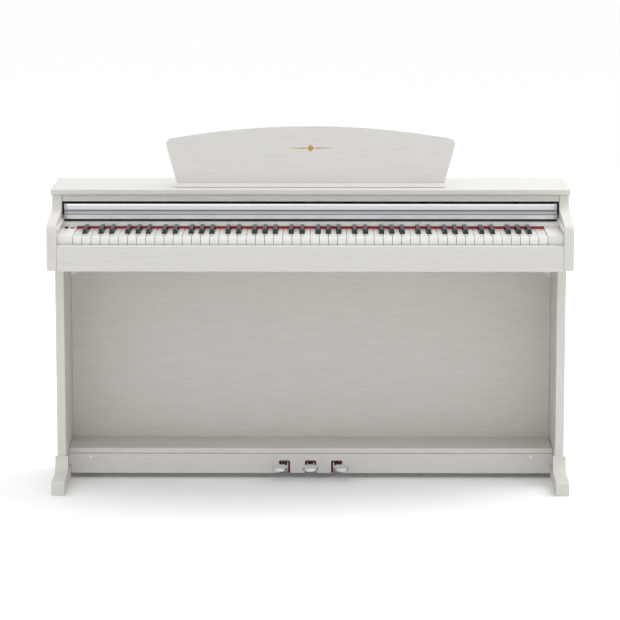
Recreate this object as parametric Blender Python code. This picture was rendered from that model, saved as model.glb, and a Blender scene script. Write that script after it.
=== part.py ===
"""A digital piano on its stand: an 88-key keyboard in a wooden cabinet with a sliding key cover and a
folding music rest, on two side legs with feet, a back panel and a pedal box with three pedals.

The piano stands on z = 0, faces -y, and is centred on x = 0 and y = 0. Lengths are in metres."""

import math

import bmesh
import bpy
from mathutils import Matrix, Vector

# Gaps that are the same everywhere
GAP = 0.0003  # between pieces that touch
RUNNING_GAP = 0.0001  # between a shaft and its hole
EMPTY_SIZE = 0.02

# Keyboard
OCTAVE_WIDTH = 0.165
WHITE_KEY_COUNT = 52
KEY_GAP = 0.0010
WHITE_KEY_LENGTH = 0.150
WHITE_HEAD_LENGTH = 0.050
WHITE_KEY_THICKNESS = 0.010
WHITE_LIP_HEIGHT = 0.022
WHITE_LIP_WALL = 0.0025
BLACK_BASE_WIDTH = 0.0120
BLACK_TOP_WIDTH = 0.0095
BLACK_RISE = 0.0115
BLACK_FRONT_SLOPE = 0.005
BLACK_THICKNESS = 0.014
BLACK_SIDE_GAP = 0.0008
BLACK_FRONT_GAP = 0.0018  # room for the front to swing forward as the key goes down
BLACK_END_GAP = 0.002
KEY_BLOCK_LENGTH = 0.012  # the hub at a white key's rear, over its pivot
BLACK_BLOCK_LENGTH = 0.008
BLOCK_SPACING = 0.004
KEY_TAIL_LENGTH = 0.058  # from the name rail to the white keys' hubs
KEY_HUB_HEIGHT = 0.0265
PIVOT_ABOVE_HUB = 0.0045
PIVOT_RAIL_WIDTH = 0.005
PIVOT_RAIL_GAP = 0.0008
COMB_BAR_HEIGHT = 0.007
KEY_FRONT_GAP = 0.004
FRAME_PLATE = 0.008
FRAME_FRONT_SETBACK = 0.012
FRAME_BACK_MARGIN = 0.015  # behind the white keys' pivots
GUIDE_WIDTH = 0.006
GUIDE_DROP = 0.014  # room under the lips for a pressed key

# Cabinet
OVERALL_DEPTH = 0.430
CHEEK_WIDTH = 0.0405
CHEEK_RISE = 0.0035  # above the white keys
ARM_THICKNESS = 0.025
STAND_HEIGHT = 0.604  # floor to the cabinet's underside
CABINET_HEIGHT = 0.174
ARM_UPPER_SETBACK = 0.187  # front of the arm to its full-height part
ARM_FRONT_RISE = 0.119  # where the sloping top meets the front, if it had no nose
ARM_TOP_SLOPE = math.radians(5.5)
ARM_FILLET = 0.032
ARM_NOSE = 0.024
BOARD_EDGE = 0.0012

KEY_BED_THICKNESS = 0.015
SLIP_RECESS = 0.002
SLIP_THICKNESS = 0.016
SLIP_DROP = 0.002
SLIP_HEIGHT = 0.067
KEY_TOP_RISE = 0.0865  # underside of the cabinet to the white keys' tops
NAME_RAIL_RISE = 0.0155  # above the white keys
NAME_RAIL_LIP = 0.0088
NAME_RAIL_WALL = 0.0035
NAME_RAIL_NOSE = 0.008
NAME_RAIL_DEPTH = 0.062
FELT_HEIGHT = 0.0047
FELT_DEPTH = 0.007
FELT_PROUD = 0.001

LID_DEPTH = 0.250
LID_EDGE = 0.0045
LID_THICKNESS = 0.015
LID_OVERHANG = 0.0035
BACK_PANEL_THICKNESS = 0.012
FASCIA_THICKNESS = 0.012
FASCIA_HEIGHT = 0.018
FASCIA_SETBACK = 0.010

# Key cover
COVER_FRONT_SETBACK = 0.004  # behind the fascia's face
COVER_BAR_THICKNESS = 0.012
COVER_BAR_HEIGHT = 0.042
COVER_BAR_CLEARANCE = 0.0055  # under the fascia
COVER_STEP_DEPTH = 0.004
COVER_STEP_HEIGHT = 0.020
COVER_BOARD_THICKNESS = 0.007
COVER_BACK_CLEARANCE = 0.0117  # the board's rear edge to the back panel
COVER_CAP_WIDTH = 0.006
COVER_SIDE_GAP = 0.0010
TRACK_WIDTH = 0.004
TRACK_HEIGHT = 0.008
TRACK_END_MARGIN = 0.012
TRACK_ABOVE_NAME_RAIL = 0.001

# Controls on the left cheek
BUTTON_SIZE = (0.012, 0.009)
BUTTON_RISE = 0.0016
BUTTON_DEPTH = 0.008
BUTTON_FROM_KEYS = 0.0105
SLIDER_SIZE = (0.009, 0.006)
SLIDER_RISE = 0.004
SLIDER_TRAVEL = 0.010
SLIDER_FROM_ARM = 0.0145
CONTROL_SETBACK = 0.131  # behind the keys' fronts
CONTROL_CLEARANCE = 0.0005
CONTROL_WELL_FLOOR = 0.0035
CONTROL_EDGE = 0.0006

# Electronics
BOARD_SIZE = (0.240, 0.110)
BOARD_THICKNESS = 0.0016
BOARD_STANDOFF = 0.008
STANDOFF_RADIUS = 0.004
STANDOFF_INSET = 0.010
BOARD_BACK_MARGIN = 0.020
SPEAKER_OFFSET = 0.400
SPEAKER_RADIUS = 0.058
SPEAKER_HOLE_RADIUS = 0.047
SPEAKER_HEIGHT = 0.048
SPEAKER_FLANGE = 0.004
SPEAKER_FLANGE_WIDTH = 0.008
SPEAKER_RIM_WIDTH = 0.004
SPEAKER_RIM_DEPTH = 0.001
SPEAKER_BASKET_SHARE = 0.58  # of the height, up to the magnet
SPEAKER_DISH = 0.006
MAGNET_RADIUS = 0.034
SPEAKER_BACK_MARGIN = 0.080
JACK_OFFSET = 0.300
JACK_WINDOW = (0.170, 0.040)
JACK_PLATE_LAP = 0.008
JACK_PLATE_THICKNESS = 0.003
JACK_HEIGHT = 0.075
JACK_SPACING = 0.024
JACK_RADIUS = 0.0028
JACK_COUNT = 5

# Music rest
REST_SETBACK = 0.057  # lid front edge to the board's foot
REST_LEAN = math.radians(15)
REST_THICKNESS = 0.012
REST_BOTTOM_WIDTH = 0.706
REST_TOP_WIDTH = 0.764
REST_CORNER_HEIGHT = 0.118
REST_HEIGHT = 0.153
REST_FOOT_LIFT = 0.0005  # hinge axis to the board's lower edge, along its slope
REST_CORNER_RADIUS = 0.016
LEDGE_WIDTH = 0.712
LEDGE_DEPTH = 0.0205
LEDGE_THICKNESS = 0.0095
LEDGE_LIFT = 0.0008
LEDGE_BOARD_GAP = 0.0006
HINGE_OFFSET = 0.250
HINGE_WIDTH = 0.050
HINGE_KNUCKLE = 0.018
HINGE_RADIUS = 0.003
HINGE_LEAF = 0.0016
HINGE_LEAF_LENGTH = 0.026
HINGE_LEAF_START = 0.0012  # from the axis to the leaf on the lid
HINGE_BOARD_LEAF_START = 0.0035
HINGE_NECK = 0.004
HINGE_LAP = 0.001
HINGE_BEHIND_BOARD = 0.0042
HINGE_RISE = 0.0048

# Stand
LEG_THICKNESS = 0.023
LEG_LAP = 0.003  # how far a leg reaches in under the key bed
LEG_BACK_INSET = 0.005
FOOT_THICKNESS = 0.034
FOOT_HEIGHT = 0.037
FOOT_FRONT_SETBACK = 0.047
FOOT_NOSE = 0.008
FOOT_FILLET = 0.042
PANEL_THICKNESS = 0.012
PANEL_BACK_INSET = 0.0065
BRACKET_WIDTH = 0.120
BRACKET_HEIGHT = 0.076
BRACKET_THICKNESS = 0.018

# Pedal box
BOX_DEPTH = 0.150
BOX_TOP_Z = 0.083
BOX_BOTTOM_Z = 0.0145
BOX_BOARD = 0.015
SHELF_EDGE = 0.002
BOX_FRONT_THICKNESS = 0.012
FOOT_CLEARANCE = 0.0005
SLOT_WIDTH = 0.030
SLOT_TOP_Z = 0.049
SLOT_CORNER = 0.004
PEDAL_SPACING = 0.070
PEDAL_REACH = 0.078
PEDAL_THICKNESS = 0.009
PEDAL_TOP_Z = 0.0435
PEDAL_HEAD_WIDTH = 0.043
PEDAL_LEVER_WIDTH = 0.016
PEDAL_HEAD_LENGTH = 0.046
PEDAL_SWELL_START = 0.016  # behind the head
PEDAL_SWELL_LENGTH = 0.028
PEDAL_SPLAY = 0.013
PEDAL_HUB_RADIUS = 0.010
PIVOT_SETBACK = 0.062
AXLE_RADIUS = 0.005
AXLE_OVERHANG = 0.005
HUB_TRIM = 0.0005  # inside the frame's ears
HUB_SIDE = 0.002  # beyond the lever, each side
BRACKET_PLATE = 0.003
PEDAL_BRACKET_DEPTH = 0.050
PEDAL_BRACKET_MARGIN = 0.014

# Places that follow from the sizes
FRONT_Y = -OVERALL_DEPTH / 2
BACK_Y = OVERALL_DEPTH / 2
WHITE_PITCH = OCTAVE_WIDTH / 7
KEYS_HALF = WHITE_KEY_COUNT * WHITE_PITCH / 2
INNER_HALF = KEYS_HALF + CHEEK_WIDTH + GAP
OUTER_HALF = INNER_HALF + ARM_THICKNESS
ARM_BOTTOM = STAND_HEIGHT
ARM_TOP = STAND_HEIGHT + CABINET_HEIGHT
LID_FRONT_Y = BACK_Y - LID_DEPTH
LID_TOP = ARM_TOP + GAP + LID_THICKNESS
SLIP_FRONT_Y = FRONT_Y + SLIP_RECESS
SLIP_BACK_Y = SLIP_FRONT_Y + SLIP_THICKNESS
KEY_FRONT_Y = SLIP_BACK_Y + KEY_FRONT_GAP
KEY_TOP = ARM_BOTTOM + KEY_TOP_RISE
KEY_BED_TOP = ARM_BOTTOM + KEY_BED_THICKNESS
NAME_RAIL_Y = KEY_FRONT_Y + WHITE_KEY_LENGTH + FELT_PROUD
NAME_RAIL_TOP = KEY_TOP + NAME_RAIL_RISE
BACK_PANEL_Y = BACK_Y - BACK_PANEL_THICKNESS
WHITE_HUB_Y = KEY_FRONT_Y + WHITE_KEY_LENGTH + KEY_TAIL_LENGTH
WHITE_PIVOT_Y = WHITE_HUB_Y + KEY_BLOCK_LENGTH / 2
BLACK_HUB_Y = WHITE_HUB_Y - BLOCK_SPACING - BLACK_BLOCK_LENGTH
BLACK_PIVOT_Y = BLACK_HUB_Y + BLACK_BLOCK_LENGTH / 2
HUB_BOTTOM = KEY_TOP - KEY_HUB_HEIGHT
PIVOT_Z = HUB_BOTTOM + PIVOT_ABOVE_HUB
FASCIA_Y = LID_FRONT_Y + FASCIA_SETBACK
FASCIA_BOTTOM = ARM_TOP - FASCIA_HEIGHT
COVER_Y = FASCIA_Y + COVER_FRONT_SETBACK
COVER_TOP = FASCIA_BOTTOM - COVER_BAR_CLEARANCE
COVER_BOTTOM = COVER_TOP - COVER_BAR_HEIGHT
TRACK_BOTTOM = NAME_RAIL_TOP + TRACK_ABOVE_NAME_RAIL
TRACK_TOP = TRACK_BOTTOM + TRACK_HEIGHT
TRACK_INNER = INNER_HALF - GAP - TRACK_WIDTH
LEG_INNER = INNER_HALF - LEG_LAP
LEG_OUTER = LEG_INNER + LEG_THICKNESS
LEG_FRONT_Y = LID_FRONT_Y
FOOT_CENTRE = LEG_OUTER - LEG_THICKNESS / 2
FOOT_INNER = FOOT_CENTRE - FOOT_THICKNESS / 2
PANEL_BACK_Y = BACK_Y - PANEL_BACK_INSET
PANEL_FRONT_Y = PANEL_BACK_Y - PANEL_THICKNESS
BOX_FRONT_Y = PANEL_FRONT_Y - BOX_DEPTH
PEDAL_PIVOT_Y = BOX_FRONT_Y + PIVOT_SETBACK
PEDAL_PIVOT_Z = PEDAL_TOP_Z - PEDAL_THICKNESS / 2

NOTE_NAMES = ("c", "d", "e", "f", "g", "a", "b")
BLACK_NAMES = ("c_sharp", "d_sharp", "f_sharp", "g_sharp", "a_sharp")
FIRST_NOTE = 5  # the lowest key is an a
MIDDLE_FIRST = 23  # white keys below the middle octave
MIDDLE_LAST = 29

FINISHES = {
    "wood": ((0.62, 0.61, 0.58), 0.55, 0.0),
    "wood_shelf": ((0.58, 0.57, 0.54), 0.55, 0.0),
    "white_key": ((0.90, 0.90, 0.88), 0.25, 0.0),
    "black_key": ((0.03, 0.03, 0.03), 0.45, 0.0),
    "aluminium": ((0.66, 0.67, 0.69), 0.30, 1.0),
    "grey_plastic": ((0.55, 0.55, 0.54), 0.45, 0.0),
    "black_plastic": ((0.03, 0.03, 0.03), 0.50, 0.0),
    "felt": ((0.40, 0.02, 0.04), 0.95, 0.0),
    "steel": ((0.60, 0.60, 0.60), 0.35, 1.0),
    "chrome": ((0.80, 0.80, 0.80), 0.10, 1.0),
    "circuit": ((0.03, 0.20, 0.09), 0.50, 0.0),
    "speaker": ((0.05, 0.05, 0.05), 0.60, 0.0),
}


def clear_scene():
    for obj in list(bpy.data.objects):
        bpy.data.objects.remove(obj, do_unlink=True)


def material(finish, name):
    colour, roughness, metallic = FINISHES[finish]
    made = bpy.data.materials.new(name)
    made.use_nodes = True
    shader = made.node_tree.nodes["Principled BSDF"]
    shader.inputs["Base Color"].default_value = (*colour, 1)
    shader.inputs["Roughness"].default_value = roughness
    shader.inputs["Metallic"].default_value = metallic
    made.diffuse_color = (*colour, 1)
    return made


def finish_object(name, bm, finish, origin, parent=None):
    """An object whose mesh, made in world places, hangs on its origin."""
    bmesh.ops.recalc_face_normals(bm, faces=bm.faces)
    bmesh.ops.translate(bm, vec=-Vector(origin), verts=bm.verts)
    mesh = bpy.data.meshes.new(name)
    bm.to_mesh(mesh)
    bm.free()
    obj = bpy.data.objects.new(name, mesh)
    bpy.context.scene.collection.objects.link(obj)
    mesh.materials.append(material(finish, name))
    if parent is None:
        obj.location = origin
    else:
        obj.parent = parent
        obj.location = Vector(origin) - parent.location
    return obj


def joint_empty(name, place):
    empty = bpy.data.objects.new(name, None)
    bpy.context.scene.collection.objects.link(empty)
    empty.location = place
    empty.empty_display_size = EMPTY_SIZE
    return empty


def add_box(bm, low, high):
    low, high = Vector(low), Vector(high)
    size = high - low
    place = Matrix.Translation((low + high) / 2) @ Matrix.Diagonal((*size, 1))
    return bmesh.ops.create_cube(bm, size=1, matrix=place)["verts"]


def add_cylinder(bm, centre, radius, length, axis="X", segments=24):
    turn = {"X": Matrix.Rotation(math.pi / 2, 4, "Y"), "Y": Matrix.Rotation(-math.pi / 2, 4, "X")}
    place = Matrix.Translation(centre) @ turn.get(axis, Matrix.Identity(4))
    bmesh.ops.create_cone(
        bm,
        cap_ends=True,
        segments=segments,
        radius1=radius,
        radius2=radius,
        depth=length,
        matrix=place,
    )


def add_prism(bm, points, offset):
    """The outline's face, extruded by the offset."""
    face = bm.faces.new([bm.verts.new(point) for point in points])
    moved = bmesh.ops.extrude_face_region(bm, geom=[face])
    verts = [item for item in moved["geom"] if isinstance(item, bmesh.types.BMVert)]
    bmesh.ops.translate(bm, vec=offset, verts=verts)


def board(name, low, high, finish="wood", edge=BOARD_EDGE, parent=None, origin=None):
    bm = bmesh.new()
    add_box(bm, low, high)
    centre = (Vector(low) + Vector(high)) / 2
    obj = finish_object(name, bm, finish, centre if origin is None else origin, parent)
    if edge:
        round_edges(obj, edge)
    return obj


def round_edges(obj, width, segments=1):
    bevel = obj.modifiers.new("edge", "BEVEL")
    bevel.width = width
    bevel.segments = segments
    bevel.limit_method = "ANGLE"
    bevel.angle_limit = math.radians(50)
    return bevel


def combine(obj, other, operation):
    """Joins or cuts with a helper, which stays in the file as a guide."""
    other.hide_render = True
    other.display_type = "WIRE"
    change = obj.modifiers.new(operation.lower(), "BOOLEAN")
    change.operation = operation
    change.solver = "EXACT"
    change.use_self = operation == "UNION"
    change.object = other


def helper(name, build, origin=(0, 0, 0)):
    bm = bmesh.new()
    build(bm)
    return finish_object(name, bm, "steel", origin)


def smooth(obj, angle=40):
    obj.data.shade_smooth()
    obj.data.set_sharp_from_angle(angle=math.radians(angle))


def arc(centre, radius, start, end, steps):
    """Points on an arc, both ends included, in degrees."""
    points = []
    for i in range(steps + 1):
        angle = math.radians(start + (end - start) * i / steps)
        points.append((centre[0] + radius * math.cos(angle), centre[1] + radius * math.sin(angle)))
    return points


def arm_outline():
    """The side's outline in (y, z): a full-height back, a concave shoulder, a sloping top and a nose."""
    slope = math.degrees(ARM_TOP_SLOPE)
    drop_y = FRONT_Y + ARM_UPPER_SETBACK

    def top_at(y):
        return ARM_BOTTOM + ARM_FRONT_RISE + (y - FRONT_Y) * math.tan(ARM_TOP_SLOPE)

    fillet_y = drop_y - ARM_FILLET
    fillet_z = top_at(fillet_y) + ARM_FILLET / math.cos(ARM_TOP_SLOPE)
    nose_y = FRONT_Y + ARM_NOSE
    nose_z = top_at(nose_y) - ARM_NOSE / math.cos(ARM_TOP_SLOPE)
    points = [(BACK_Y, ARM_BOTTOM), (BACK_Y, ARM_TOP), (drop_y, ARM_TOP)]
    points += arc((fillet_y, fillet_z), ARM_FILLET, 0, -90 + slope, 8)
    points += arc((nose_y, nose_z), ARM_NOSE, 90 + slope, 180, 7)
    points.append((FRONT_Y, ARM_BOTTOM))
    return points


def make_side_arms():
    outline = arm_outline()
    for side, name in ((-1, "side_arm_left"), (1, "side_arm_right")):
        bm = bmesh.new()
        inner = side * INNER_HALF
        add_prism(bm, [(inner, y, z) for y, z in outline], (side * ARM_THICKNESS, 0, 0))
        round_edges(finish_object(name, bm, "wood", (inner, BACK_Y, ARM_BOTTOM)), BOARD_EDGE)


def make_cabinet():
    across = INNER_HALF - GAP
    lid_half = OUTER_HALF + LID_OVERHANG
    lid = board("top_lid", (-lid_half, LID_FRONT_Y, ARM_TOP + GAP), (lid_half, BACK_Y, LID_TOP), edge=0)
    round_edges(lid, LID_EDGE, 3)
    board(
        "fascia_board",
        (-across, FASCIA_Y, FASCIA_BOTTOM),
        (across, FASCIA_Y + FASCIA_THICKNESS, ARM_TOP),
    )
    board(
        "key_slip",
        (-across, SLIP_FRONT_Y, ARM_BOTTOM - SLIP_DROP),
        (across, SLIP_BACK_Y, ARM_BOTTOM - SLIP_DROP + SLIP_HEIGHT),
    )
    bed = board(
        "key_bed",
        (-across, SLIP_BACK_Y + GAP, ARM_BOTTOM),
        (across, BACK_PANEL_Y - GAP, KEY_BED_TOP),
        edge=0,
    )
    panel = board(
        "cabinet_back_panel",
        (-across, BACK_PANEL_Y, ARM_BOTTOM),
        (across, BACK_Y, ARM_TOP),
        edge=0,
    )
    speaker_y = BACK_PANEL_Y - SPEAKER_BACK_MARGIN

    def holes(bm):
        for side in (-1, 1):
            centre = (side * SPEAKER_OFFSET, speaker_y, ARM_BOTTOM + KEY_BED_THICKNESS / 2)
            add_cylinder(bm, centre, SPEAKER_HOLE_RADIUS, KEY_BED_THICKNESS * 2, "Z", 32)

    combine(bed, helper("speaker_hole_cutter", holes), "DIFFERENCE")

    def window(bm):
        width, height = JACK_WINDOW
        middle = ARM_BOTTOM + JACK_HEIGHT
        low = (JACK_OFFSET - width / 2, BACK_PANEL_Y - BACK_PANEL_THICKNESS, middle - height / 2)
        high = (JACK_OFFSET + width / 2, BACK_Y + BACK_PANEL_THICKNESS, middle + height / 2)
        add_box(bm, low, high)

    combine(panel, helper("jack_window_cutter", window), "DIFFERENCE")


def make_name_rail():
    across = INNER_HALF - GAP
    top = NAME_RAIL_TOP
    inner = NAME_RAIL_Y + NAME_RAIL_NOSE
    back = NAME_RAIL_Y + NAME_RAIL_DEPTH
    outline = [
        (NAME_RAIL_Y, top - NAME_RAIL_LIP),
        (NAME_RAIL_Y, top),
        (back, top),
        (back, top - NAME_RAIL_WALL),
        (inner, top - NAME_RAIL_WALL),
        (inner, top - NAME_RAIL_LIP),
    ]
    bm = bmesh.new()
    add_prism(bm, [(-across, y, z) for y, z in outline], (2 * across, 0, 0))
    finish_object("name_rail", bm, "wood", (0, NAME_RAIL_Y, top))
    felt_top = top - NAME_RAIL_LIP - GAP
    felt_front = NAME_RAIL_Y - FELT_PROUD
    board(
        "felt_strip",
        (-KEYS_HALF, felt_front, felt_top - FELT_HEIGHT),
        (KEYS_HALF, felt_front + FELT_DEPTH, felt_top),
        "felt",
        edge=0,
    )


def control_places():
    """The middles of the power button and the volume slider, in x and y."""
    y = KEY_FRONT_Y + CONTROL_SETBACK
    button = (-KEYS_HALF - BUTTON_FROM_KEYS, y)
    slider = (-INNER_HALF + SLIDER_FROM_ARM, y)
    return button, slider


def make_cheeks():
    top = KEY_TOP + CHEEK_RISE
    for side, name in ((-1, "cheek_block_left"), (1, "cheek_block_right")):
        ends = sorted((side * (KEYS_HALF + KEY_GAP / 2), side * (INNER_HALF - GAP)))
        low = (ends[0], KEY_FRONT_Y, KEY_BED_TOP + GAP)
        high = (ends[1], NAME_RAIL_Y - GAP, top)
        cheek = board(name, low, high, "white_key", edge=0)
        if side < 0:
            combine(cheek, helper("control_well_cutter", control_wells), "DIFFERENCE")


def control_wells(bm):
    top = KEY_TOP + CHEEK_RISE
    button, slider = control_places()
    wells = (
        (button, BUTTON_SIZE[0], BUTTON_SIZE[1], BUTTON_DEPTH + CONTROL_WELL_FLOOR),
        (slider, SLIDER_SIZE[0], SLIDER_SIZE[1] + SLIDER_TRAVEL, BUTTON_DEPTH + CONTROL_WELL_FLOOR),
    )
    for (x, y), width, length, depth in wells:
        reach_x = width / 2 + CONTROL_CLEARANCE
        reach_y = length / 2 + CONTROL_CLEARANCE
        add_box(bm, (x - reach_x, y - reach_y, top - depth), (x + reach_x, y + reach_y, top + depth))


def make_controls():
    top = KEY_TOP + CHEEK_RISE
    button, slider = control_places()
    pieces = (
        ("power_button", button, BUTTON_SIZE, BUTTON_RISE),
        ("volume_slider", slider, SLIDER_SIZE, SLIDER_RISE),
    )
    for name, (x, y), (width, length), rise in pieces:
        guide = joint_empty(name + "_joint", (x, y, top))
        low = (x - width / 2, y - length / 2, top - BUTTON_DEPTH)
        high = (x + width / 2, y + length / 2, top + rise)
        board(name, low, high, "grey_plastic", edge=CONTROL_EDGE, parent=guide)


def make_cover():
    """The cover's aluminium front bar with its end caps, and the board that slides behind it."""
    guide = joint_empty("key_cover_joint", (0, COVER_Y, COVER_BOTTOM))
    half = TRACK_INNER - COVER_SIDE_GAP
    bar_half = half - COVER_CAP_WIDTH - GAP
    bar_back = COVER_Y + COVER_BAR_THICKNESS
    step_z = COVER_BOTTOM + COVER_STEP_HEIGHT
    outline = [
        (COVER_Y + COVER_STEP_DEPTH, COVER_BOTTOM),
        (COVER_Y + COVER_STEP_DEPTH, step_z),
        (COVER_Y, step_z + COVER_STEP_DEPTH),
        (COVER_Y, COVER_TOP),
        (bar_back, COVER_TOP),
        (bar_back, COVER_BOTTOM),
    ]
    spans = (
        ("key_cover_front_bar", -bar_half, bar_half, "aluminium"),
        ("key_cover_end_cap_left", -half, -bar_half - GAP, "grey_plastic"),
        ("key_cover_end_cap_right", bar_half + GAP, half, "grey_plastic"),
    )
    for name, start, end, finish in spans:
        bm = bmesh.new()
        add_prism(bm, [(start, y, z) for y, z in outline], (end - start, 0, 0))
        finish_object(name, bm, finish, ((start + end) / 2, COVER_Y, COVER_BOTTOM), guide)
    board_half = INNER_HALF - COVER_SIDE_GAP
    board_back = BACK_PANEL_Y - COVER_BACK_CLEARANCE
    low = (-board_half, bar_back + GAP, TRACK_TOP + GAP)
    high = (board_half, board_back, TRACK_TOP + GAP + COVER_BOARD_THICKNESS)
    board("key_cover_board", low, high, "wood", edge=0, parent=guide)
    for side, name in ((-1, "cover_track_left"), (1, "cover_track_right")):
        ends = sorted((side * TRACK_INNER, side * (INNER_HALF - GAP)))
        board(
            name,
            (ends[0], FRONT_Y + TRACK_END_MARGIN, TRACK_BOTTOM),
            (ends[1], BACK_PANEL_Y - GAP, TRACK_TOP),
            "black_plastic",
            edge=0,
        )


def octave_layout():
    """In one octave: each white key's tail as (left, right), and each black key's slot as (left, right)."""
    slot = BLACK_BASE_WIDTH + 2 * BLACK_SIDE_GAP
    tails, slots = [], []
    for start, count in ((0, 3), (3, 4)):
        tail = (count * WHITE_PITCH - (count - 1) * slot) / count
        x = start * WHITE_PITCH
        for i in range(count):
            tails.append((x, x + tail))
            x += tail
            if i < count - 1:
                slots.append((x, x + slot))
                x += slot
    return tails, slots


def octave_start(index):
    """The left edge of the octave that holds this white key."""
    return -KEYS_HALF + (index - (index + FIRST_NOTE) % 7) * WHITE_PITCH


def white_key_edges(index):
    """The left and right edges of one white key's head, and of its tail."""
    note = (index + FIRST_NOTE) % 7
    tail_left, tail_right = octave_layout()[0][note]
    left = -KEYS_HALF + index * WHITE_PITCH + KEY_GAP / 2
    right = left + WHITE_PITCH - KEY_GAP
    tail_left += octave_start(index)
    tail_right += octave_start(index)
    if index == 0 or note in (0, 3):
        tail_left = left
    if index == WHITE_KEY_COUNT - 1 or note in (2, 6):
        tail_right = right
    return left, right, tail_left, tail_right


def plan_face(bm, verts, points, z):
    """A flat face whose corners are shared with its neighbours."""
    corners = []
    for x, y in points:
        spot = (round(x, 7), round(y, 7))
        if spot not in verts:
            verts[spot] = bm.verts.new((x, y, z))
        if verts[spot] not in corners:
            corners.append(verts[spot])
    bm.faces.new(corners)


def faces_between(bm, z, low_y, high_y):
    """The level faces at a height whose middles lie between two depths."""
    found = []
    for face in bm.faces:
        middle = face.calc_center_median()
        level = all(abs(vert.co.z - z) < 1e-6 for vert in face.verts)
        if level and low_y < middle.y < high_y:
            found.append(face)
    return found


def extrude_down(bm, faces, distance):
    region = set(faces)
    for face in faces:
        region.update(face.edges)
        region.update(face.verts)
    moved = bmesh.ops.extrude_face_region(bm, geom=list(region))
    verts = [item for item in moved["geom"] if isinstance(item, bmesh.types.BMVert)]
    bmesh.ops.translate(bm, vec=(0, 0, -distance), verts=verts)
    return verts


def white_comb(bm, first, last):
    """White keys side by side, joined at their hubs: one key, or a gang that moves together."""
    verts = {}
    lip_y = KEY_FRONT_Y + WHITE_LIP_WALL
    head_y = KEY_FRONT_Y + WHITE_HEAD_LENGTH
    hub_y = WHITE_HUB_Y
    hub_back = hub_y + KEY_BLOCK_LENGTH
    for index in range(first, last + 1):
        left, right, tail_left, tail_right = white_key_edges(index)
        lip = [(left, KEY_FRONT_Y), (right, KEY_FRONT_Y), (right, lip_y), (left, lip_y)]
        head = [(left, lip_y), (right, lip_y), (right, head_y)]
        head += [(tail_right, head_y), (tail_left, head_y), (left, head_y)]
        tail = [(tail_left, head_y), (tail_right, head_y)]
        tail += [(tail_right, hub_y), (tail_left, hub_y)]
        hub = [(tail_left, hub_y), (tail_right, hub_y)]
        hub += [(tail_right, hub_back), (tail_left, hub_back)]
        for points in (lip, head, tail, hub):
            plan_face(bm, verts, points, KEY_TOP)
        if index < last:
            start = white_key_edges(index + 1)[2]
            link = [(tail_right, hub_y), (start, hub_y), (start, hub_back), (tail_right, hub_back)]
            plan_face(bm, verts, link, KEY_TOP)
    extrude_down(bm, bm.faces[:], WHITE_KEY_THICKNESS)
    underside = KEY_TOP - WHITE_KEY_THICKNESS
    lips = faces_between(bm, underside, KEY_FRONT_Y, lip_y)
    extrude_down(bm, lips, WHITE_LIP_HEIGHT - WHITE_KEY_THICKNESS)
    hubs = faces_between(bm, underside, WHITE_HUB_Y, hub_back)
    extrude_down(bm, hubs, KEY_HUB_HEIGHT - WHITE_KEY_THICKNESS)


def black_key_places(first, last):
    """The left edges of the black keys whose left white neighbour is one of these white keys."""
    places = []
    slots = octave_layout()[1]
    slot_of_note = {0: 0, 1: 1, 3: 2, 4: 3, 5: 4}
    for index in range(first, min(last, WHITE_KEY_COUNT - 2) + 1):
        note = (index + FIRST_NOTE) % 7
        if note in slot_of_note:
            places.append(octave_start(index) + slots[slot_of_note[note]][0] + BLACK_SIDE_GAP)
    return places


def black_keys(bm, places):
    """Black keys with tapered playing bodies, flat tails and a hub over their pivot."""
    verts = {}
    front = KEY_FRONT_Y + WHITE_HEAD_LENGTH + BLACK_FRONT_GAP
    body_back = KEY_FRONT_Y + WHITE_KEY_LENGTH - BLACK_END_GAP
    hub_back = BLACK_HUB_Y + BLACK_BLOCK_LENGTH
    for left in places:
        right = left + BLACK_BASE_WIDTH
        for start, end in ((front, body_back), (body_back, BLACK_HUB_Y), (BLACK_HUB_Y, hub_back)):
            plan_face(bm, verts, [(left, start), (right, start), (right, end), (left, end)], KEY_TOP)
    extrude_down(bm, bm.faces[:], BLACK_THICKNESS)
    hubs = faces_between(bm, KEY_TOP - BLACK_THICKNESS, BLACK_HUB_Y, hub_back)
    extrude_down(bm, hubs, KEY_HUB_HEIGHT - BLACK_THICKNESS)
    raised = extrude_down(bm, faces_between(bm, KEY_TOP, front, body_back), -BLACK_RISE)
    for vert in raised:
        left = min(places, key=lambda place: abs(place + BLACK_BASE_WIDTH / 2 - vert.co.x))
        middle = left + BLACK_BASE_WIDTH / 2
        vert.co.x = middle + (vert.co.x - middle) * BLACK_TOP_WIDTH / BLACK_BASE_WIDTH
        if vert.co.y < front + BLACK_FRONT_SLOPE:
            vert.co.y = front + BLACK_FRONT_SLOPE


def make_white_keys(name, first, last):
    left = white_key_edges(first)[0]
    right = white_key_edges(last)[1]
    axis = ((left + right) / 2, WHITE_PIVOT_Y, PIVOT_Z)
    bm = bmesh.new()
    white_comb(bm, first, last)
    finish_object(name, bm, "white_key", axis)


def make_black_keys(name, places):
    middle = (places[0] + places[-1] + BLACK_BASE_WIDTH) / 2
    axis = (middle, BLACK_PIVOT_Y, PIVOT_Z)
    bm = bmesh.new()
    black_keys(bm, places)
    keys = finish_object(name, bm, "black_key", axis)
    if len(places) == 1:
        return

    def bar(bm):
        low = (places[0], BLACK_HUB_Y + GAP, HUB_BOTTOM + GAP)
        end = places[-1] + BLACK_BASE_WIDTH
        high = (end, BLACK_HUB_Y + BLACK_BLOCK_LENGTH - GAP, HUB_BOTTOM + COMB_BAR_HEIGHT)
        add_box(bm, low, high)

    combine(keys, helper(name + "_bar", bar), "UNION")


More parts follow.
